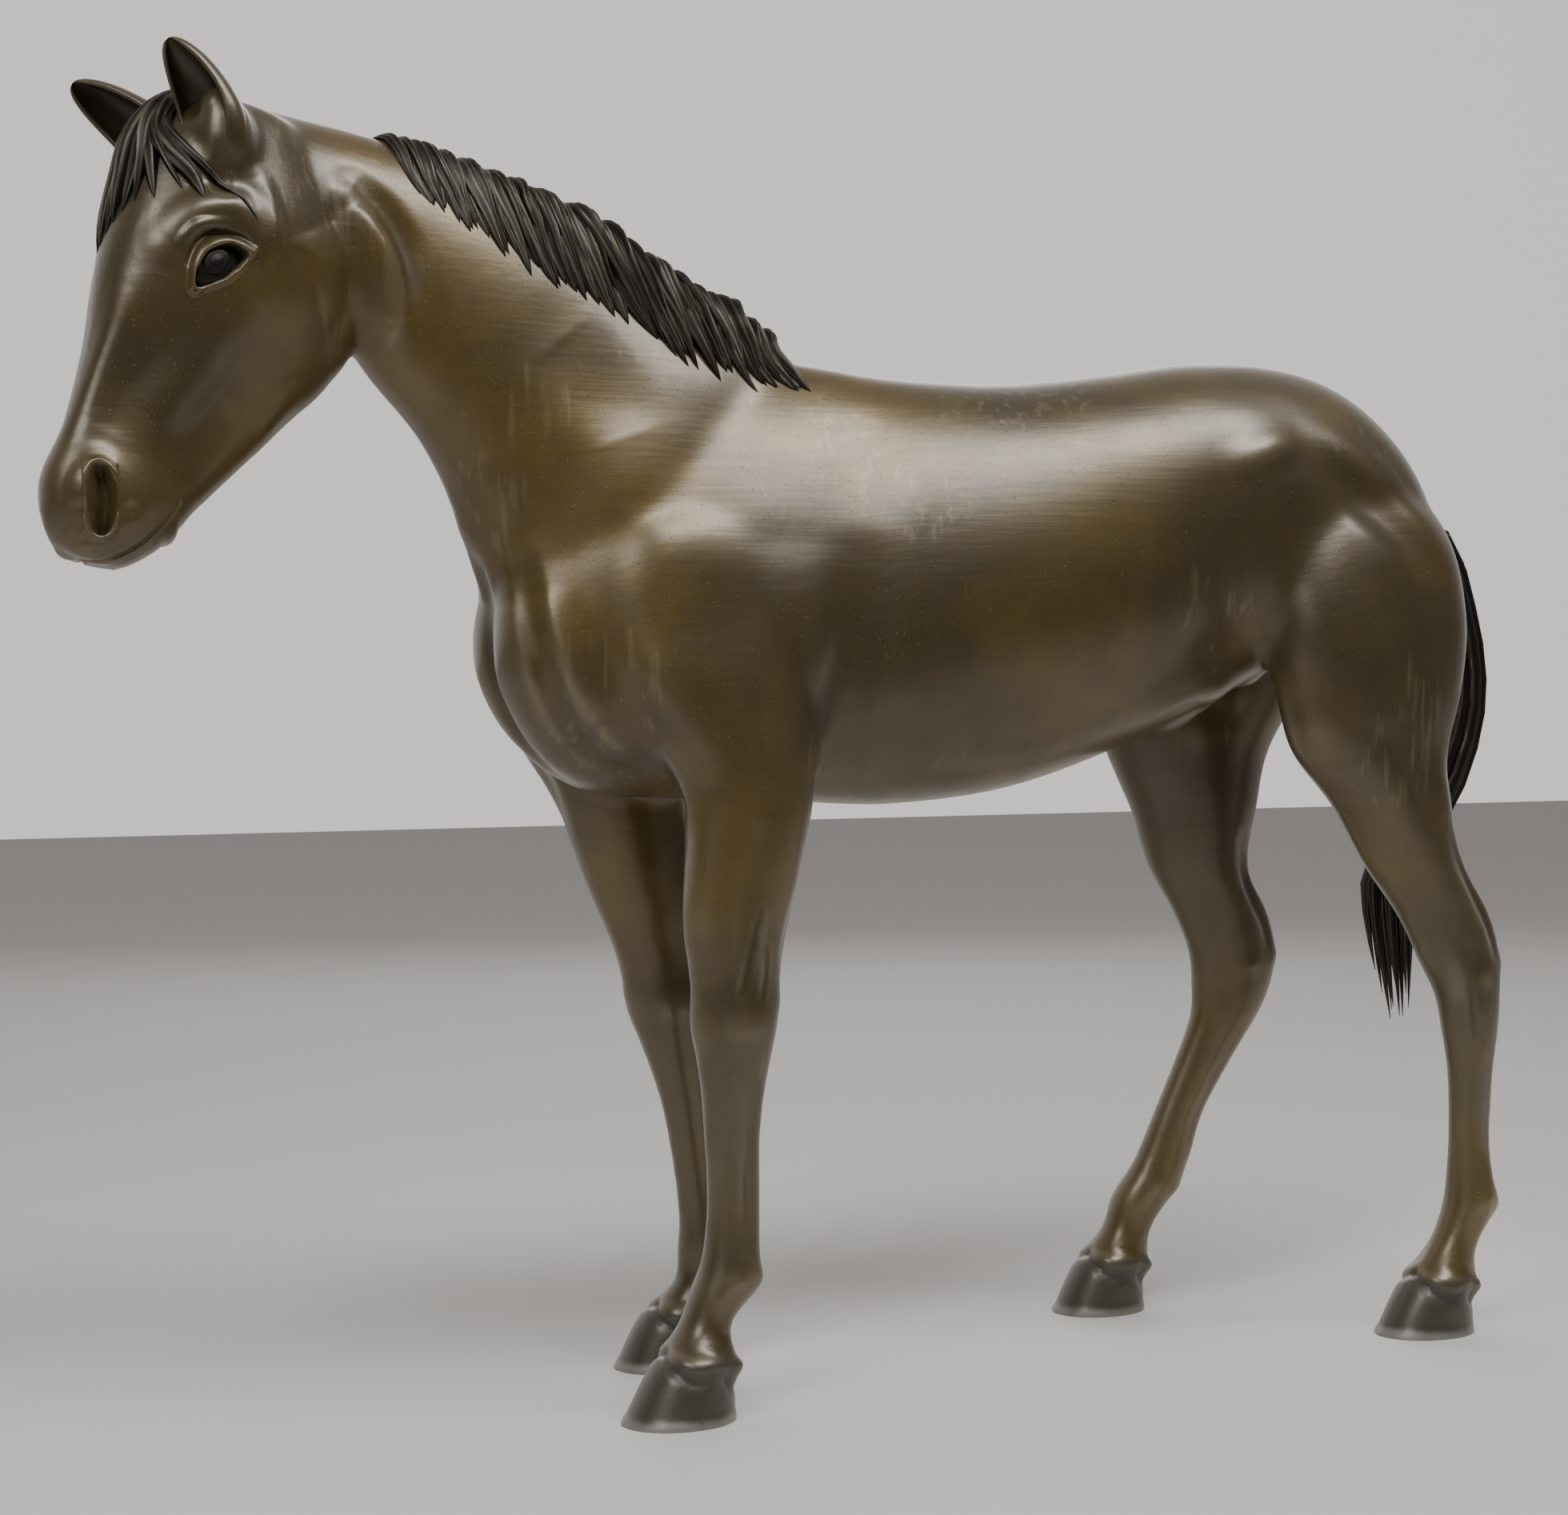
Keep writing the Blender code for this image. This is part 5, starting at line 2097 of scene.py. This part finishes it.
@dataclass
class Mane(Hair):
    """Half of the mane, swept back down the left of the neck.

    Args:
        crest: Drawn x and z along the crest where the locks grow.
        hem: Drawn x and z along the hem where they end, for the same growth.
        rise: How much prouder than drawn the first and the last locks stand, as shares.
        count: How many locks lie in each layer.
        seed: The start of the random draws.
        layers: For each layer: its length as a share of the way to the hem, the locks'
            half width and height, and the y that they grow from.
        hem_y: The y that every lock is drawn towards.
        sway: How far a lock may stray from its line.
    """

    crest: tuple = ()
    hem: tuple = ()
    rise: Pair = (1.0, 1.0)
    count: int = 14
    seed: int = 7
    layers: tuple = (
        (1.0, 6.4, 3.4, 13.0),
        (1.0, 4.8, 4.4, 9.0),
        (0.95, 3.4, 5.4, 5.0),
        (0.85, 2.4, 6.2, 2.0),
    )
    hem_y: float = -34.0
    sway: float = 1.4

    def build(self, skin: bpy.types.Object, finish: bpy.types.Material) -> bpy.types.Object:
        """Makes this half of the mane.

        Args:
            skin: The skin that it lies on.
            finish: The hair's finish.

        Returns:
            The hair.
        """
        draw = np.random.default_rng(self.seed)
        locks = []
        for reach, width, height, start_y in self.layers:
            for index in range(self.count):
                share = (index + draw.uniform(-0.3, 0.3)) / (self.count - 1)
                root = self.along(self.crest, share)
                tip = self.along(self.hem, share + draw.uniform(-0.03, 0.03))
                length = reach * draw.uniform(0.8, 1.08)
                path = []
                for t in (0.0, 0.25, 0.5, 0.75, 1.0):
                    x = root[0] + (tip[0] - root[0]) * t * length
                    z = root[1] + (tip[1] - root[1]) * (t**1.5 * length)
                    sway = draw.uniform(-self.sway, self.sway) * math.sin(math.pi * t)
                    path.append((x + sway, start_y + (self.hem_y - start_y) * t, z))
                proud = height * (self.rise[0] + (self.rise[1] - self.rise[0]) * share)
                wide = width * draw.uniform(0.8, 1.2)
                proud *= draw.uniform(0.8, 1.15)
                locks.append(Lock(tuple(path), wide, proud, 7, draw.uniform(0, 6), 0.35))
        return self.finish([self.lock(skin, lock) for lock in locks], finish)

    @staticmethod
    def along(run: Sequence[Pair], share: float) -> Pair:
        """Finds the point a share of the way along a run of side-view points.

        Args:
            run: Drawn x and z of each point.
            share: The share, from 0 to 1.

        Returns:
            The drawn x and z there.
        """
        place = min(max(share, 0.0), 1.0) * (len(run) - 1)
        steps = range(len(run))
        return (
            float(np.interp(place, steps, [point[0] for point in run])),
            float(np.interp(place, steps, [point[1] for point in run])),
        )


@dataclass
class Forelock(Hair):
    """The forelock, falling between the ears over the brow.

    Args:
        falls: For each lock, its points down the face, out from it and to the left,
            then its half width and height.
    """

    falls: tuple = (
        (((-4, 2, -1), (12, 12, 6), (22, 8, 15), (30, -2, 21), (39, -8, 24)), 4.2, 3.6),
        (((-2, 2, 1), (10, 11, 9), (20, 3, 18), (28, -10, 24), (38, -26, 28)), 2.0, 2.2),
        (((-3, 3, 0), (12, 12, 8), (24, 9, 15), (36, 0, 21)), 2.2, 4.2),
        (((-3, 3, -1), (13, 12, 4), (27, 12, 11), (42, 6, 15)), 3.4, 3.4),
        (((-4, 2, -2), (13, 12, 1), (30, 15, 5), (48, 15, 6)), 4.4, 3.6),
        (((-4, 2, -4), (13, 12, -4), (32, 15, -3), (56, 15, -1)), 4.6, 4.0),
        (((-4, 1, -5), (12, 11, -9), (32, 14, -10), (62, 14, -8)), 4.6, 4.0),
        (((-3, 0, -6), (12, 9, -14), (30, 12, -17), (58, 12, -15)), 4.4, 3.6),
        (((-2, -1, -7), (10, 6, -18), (26, 6, -23), (46, 6, -24)), 4.0, 3.2),
        (((-1, -2, -7), (8, 3, -19), (20, 0, -26), (34, -8, -28)), 3.0, 2.8),
        (((-4, 2, -3), (14, 13, -2), (34, 16, 1), (52, 16, 2)), 2.2, 5.6),
        (((-4, 2, -4), (13, 12, -7), (30, 15, -6), (60, 15, -5)), 2.2, 5.6),
        (((-4, 2, -1), (12, 12, 3), (26, 14, 8), (44, 12, 10)), 2.2, 5.2),
        (((-3, 1, -6), (12, 10, -12), (30, 13, -13), (60, 13, -12)), 2.0, 5.4),
        (((-2, 0, -7), (10, 7, -16), (27, 9, -20), (50, 10, -20)), 2.0, 4.8),
    )

    def build(self, skin: bpy.types.Object, finish: bpy.types.Material) -> bpy.types.Object:
        """Makes the forelock.

        Args:
            skin: The skin that it lies on.
            finish: The hair's finish.

        Returns:
            The hair.
        """
        locks = []
        for index, (points, width, height) in enumerate(self.falls):
            path = tuple(tuple(HEAD.point(*point)) for point in points)
            locks.append(self.lock(skin, Lock(path, width, height, 6, float(index))))
        return self.finish(locks, finish)


@dataclass
class Tail(Hair):
    """The tail, falling from the dock and swinging in between the hocks.

    Args:
        spine: Drawn x, y and z down its middle, half length and half width.
        strands: How many locks lie round it.
        seed: The start of the random draws.
        spreads: How far out its even and its odd locks lie, as shares of its size.
        twist_step: How far the locks turn between two points of the spine, in radians.
    """

    spine: tuple = (
        (196, 0, 368, 5, 5),
        (220, 0, 360, 6, 6),
        (238, 0, 338, 8, 8),
        (246, 0, 310, 8, 9),
        (250, 0, 282, 9, 9),
        (246, 1, 256, 11, 9),
        (232, 2, 227, 15, 9),
        (213, 3, 201, 17, 8),
        (210, 3, 178, 15, 7),
        (212, 3, 153, 12, 6),
        (214, 3, 128, 8, 4),
    )
    strands: int = 16
    seed: int = 3
    spreads: Pair = (0.4, 0.72)
    twist_step: float = 0.10

    def build(self, skin: bpy.types.Object, finish: bpy.types.Material) -> bpy.types.Object:
        """Makes the tail.

        Args:
            skin: The skin, which the hanging locks don't touch.
            finish: The hair's finish.

        Returns:
            The hair.
        """
        draw = np.random.default_rng(self.seed)
        locks = []
        for index in range(self.strands):
            angle = math.tau * index / self.strands
            spread = self.spreads[index % 2]
            length = draw.uniform(0.9, 1.0)
            steps = range(len(self.spine))
            path = []
            for step in steps:
                station = [float(np.interp(step * length, steps, row)) for row in zip(*self.spine)]
                x, y, z, deep, wide = station
                turn = angle + self.twist_step * step
                ahead = math.cos(turn) * deep * spread
                aside = math.sin(turn) * wide * spread
                path.append((x + ahead, y + aside, z))
            width, height = draw.uniform(3.4, 4.8), draw.uniform(3.0, 4.2)
            locks.append(Lock(tuple(path), width, height, 6, draw.uniform(0, 6), 0.9))
        pieces = [self.lock(skin, lock, cling=False) for lock in locks]
        return self.finish(pieces, finish)


@dataclass(frozen=True)
class Lamp:
    """A soft rectangular lamp that faces the horse.

    Args:
        name: The lamp's name.
        place: Where it hangs, in metres.
        size: Its width and height, in metres.
        power: Its power, in watts.
        aim: The point that it faces.
    """

    name: str
    place: Triple
    size: Pair
    power: float
    aim: Triple = (0.0, 0.0, 0.26)

    def hang(self) -> None:
        """Adds the lamp to the scene."""
        light = bpy.data.lights.new(self.name, "AREA")
        light.shape = "RECTANGLE"
        light.size, light.size_y = self.size
        light.energy = self.power
        stand = bpy.data.objects.new(self.name, light)
        stand.location = self.place
        facing = Vector(self.aim) - Vector(self.place)
        stand.rotation_euler = facing.to_track_quat("-Z", "Y").to_euler()
        bpy.context.scene.collection.objects.link(stand)


@dataclass(frozen=True)
class Studio:
    """The pale floor, the soft lights and the camera.

    Args:
        azimuth: The camera's bearing round the horse, in degrees.
        distance: How far off it stands, in drawn millimetres.
        height: How high it stands.
        yaw: How far it turns from facing the horse's origin, in degrees.
        pitch: How far it looks down, in degrees.
        roll: How far it leans, in degrees.
        lens: Its focal length on a 36 mm sensor.
        floor_size: How wide the floor is, in metres.
        air_colour: The colour of the light from all round.
        dimmest: How strong that light is on the horse's left, against 1 on its right.
        brightens: Where between the two sides it grows, from -1 to 1.
        lamps: The lamps.
    """

    azimuth: float = -25.0
    distance: float = 1103.8
    height: float = 258.9
    yaw: float = 3.862
    pitch: float = 0.37
    roll: float = 0.756
    lens: float = 60.58
    floor_size: float = 14.0
    air_colour: tuple = (0.86, 0.83, 0.81, 1.0)
    dimmest: float = 0.12
    brightens: Pair = (-0.1, 0.85)
    lamps: tuple[Lamp, ...] = (
        Lamp("overhead", (0.36, -0.80, 1.60), (1.5, 0.42), 26.0),
        Lamp("face_light", (-1.0, -0.85, 1.2), (0.6, 0.6), 8.0),
        Lamp("front_fill", (-1.6, -1.4, 0.9), (1.2, 1.2), 2.0),
        Lamp("back_fill", (0.6, 1.8, 1.2), (1.6, 1.0), 8.0),
    )

    def camera(self) -> None:
        """Places the camera."""
        azimuth = math.radians(self.azimuth)
        yaw = azimuth + math.radians(self.yaw)
        pitch = math.radians(self.pitch)
        roll = math.radians(self.roll)
        ahead = math.cos(azimuth) * self.distance
        place = DRAWING.place(math.sin(azimuth) * self.distance, -ahead, self.height)
        level = math.cos(pitch)
        forward = Vector((-math.sin(yaw) * level, math.cos(yaw) * level, -math.sin(pitch)))
        right = Vector((math.cos(yaw), math.sin(yaw), 0.0))
        above = right.cross(forward)
        leaning_right = right * math.cos(roll) - above * math.sin(roll)
        leaning_up = right * math.sin(roll) + above * math.cos(roll)
        lens = bpy.data.cameras.new("camera")
        lens.lens = self.lens
        lens.sensor_width = 36.0
        lens.sensor_fit = "HORIZONTAL"
        lens.clip_end = 50.0
        stand = bpy.data.objects.new("camera", lens)
        turn = Matrix((leaning_right, leaning_up, -forward)).transposed()
        stand.matrix_world = Matrix.Translation(place) @ turn.to_4x4()
        bpy.context.scene.collection.objects.link(stand)
        bpy.context.scene.camera = stand

    def air(self) -> None:
        """Makes the light from all round, dimmer on the horse's left than on its right."""
        world = bpy.data.worlds.new("studio_air")
        world.use_nodes = True
        tree = world.node_tree
        place = tree.nodes.new("ShaderNodeTexCoord")
        parts = tree.nodes.new("ShaderNodeSeparateXYZ")
        fade = tree.nodes.new("ShaderNodeMapRange")
        fade.interpolation_type = "SMOOTHSTEP"
        fade.inputs["From Min"].default_value = self.brightens[0]
        fade.inputs["From Max"].default_value = self.brightens[1]
        fade.inputs["To Min"].default_value = self.dimmest
        fade.inputs["To Max"].default_value = 1.0
        background = tree.nodes["Background"]
        background.inputs["Color"].default_value = self.air_colour
        tree.links.new(place.outputs["Generated"], parts.inputs[0])
        tree.links.new(parts.outputs["Y"], fade.inputs["Value"])
        tree.links.new(fade.outputs["Result"], background.inputs["Strength"])
        bpy.context.scene.world = world

    def floor(self) -> None:
        """Lays the floor."""
        bpy.ops.mesh.primitive_grid_add(x_subdivisions=8, y_subdivisions=8, size=self.floor_size)
        floor = bpy.context.object
        floor.name = "floor"
        floor.data.materials.append(StudioPaper().material())

    def build(self) -> None:
        """Lays the floor, hangs the lamps, and places the camera."""
        self.floor()
        for lamp in self.lamps:
            lamp.hang()
        self.air()
        self.camera()


# -------------------------------------------------------------------- the horse


def main() -> None:
    """Builds the horse and the studio, and reports each piece."""
    logging.basicConfig(level=logging.INFO, format="%(message)s")
    body = BodyPatina().material()
    hair = HairPatina().material()
    skin = Skin().build()
    head = HeadModelling()
    wear = Wear()
    wear.mark_broad(skin)
    head.model(skin)
    wear.mark(skin)
    mane_front = Mane(
        "mane_front_locks",
        "mane_front",
        crest=((-250, 490), (-232, 487), (-212, 480), (-192, 472), (-176, 465)),
        hem=((-229, 467), (-206, 452), (-184, 440), (-165, 435), (-150, 428)),
        rise=(0.5, 1.1),
    )
    mane_rear = Mane(
        "mane_rear_locks",
        "mane_rear",
        crest=((-178, 466), (-158, 457), (-134, 444), (-112, 432), (-92, 420)),
        hem=((-136, 420), (-126, 410), (-103, 405), (-86, 406), (-74, 408)),
        rise=(1.35, 1.1),
        count=11,
        seed=11,
    )
    forelock = Forelock("forelock_locks", "forelock")
    tail = Tail("tail_locks", "tail")
    for piece in (mane_front, mane_rear, forelock, tail):
        piece.build(skin, hair)
    Castings().build(skin, body)
    for name, side in (("left_eye", 1), ("right_eye", -1)):
        Eye(name, side).build(head, hair)
    Ear("left_ear", "ear_left", (11, -8, 19), (-14, 20, 17), (0.3, 1.0, 0.45)).build(body)
    Ear("right_ear", "ear_right", (11, -8, -18), (-2, 29, -33), (0.7, 0.6, 0.7)).build(body)
    raw_bronze = RawBronze().material()
    for name, node in frame["nodes"].items():
        if name.endswith("collar"):
            node.data.materials.clear()
            node.data.materials.append(raw_bronze)
    Studio().build()


if __name__ == "__main__":
    main()
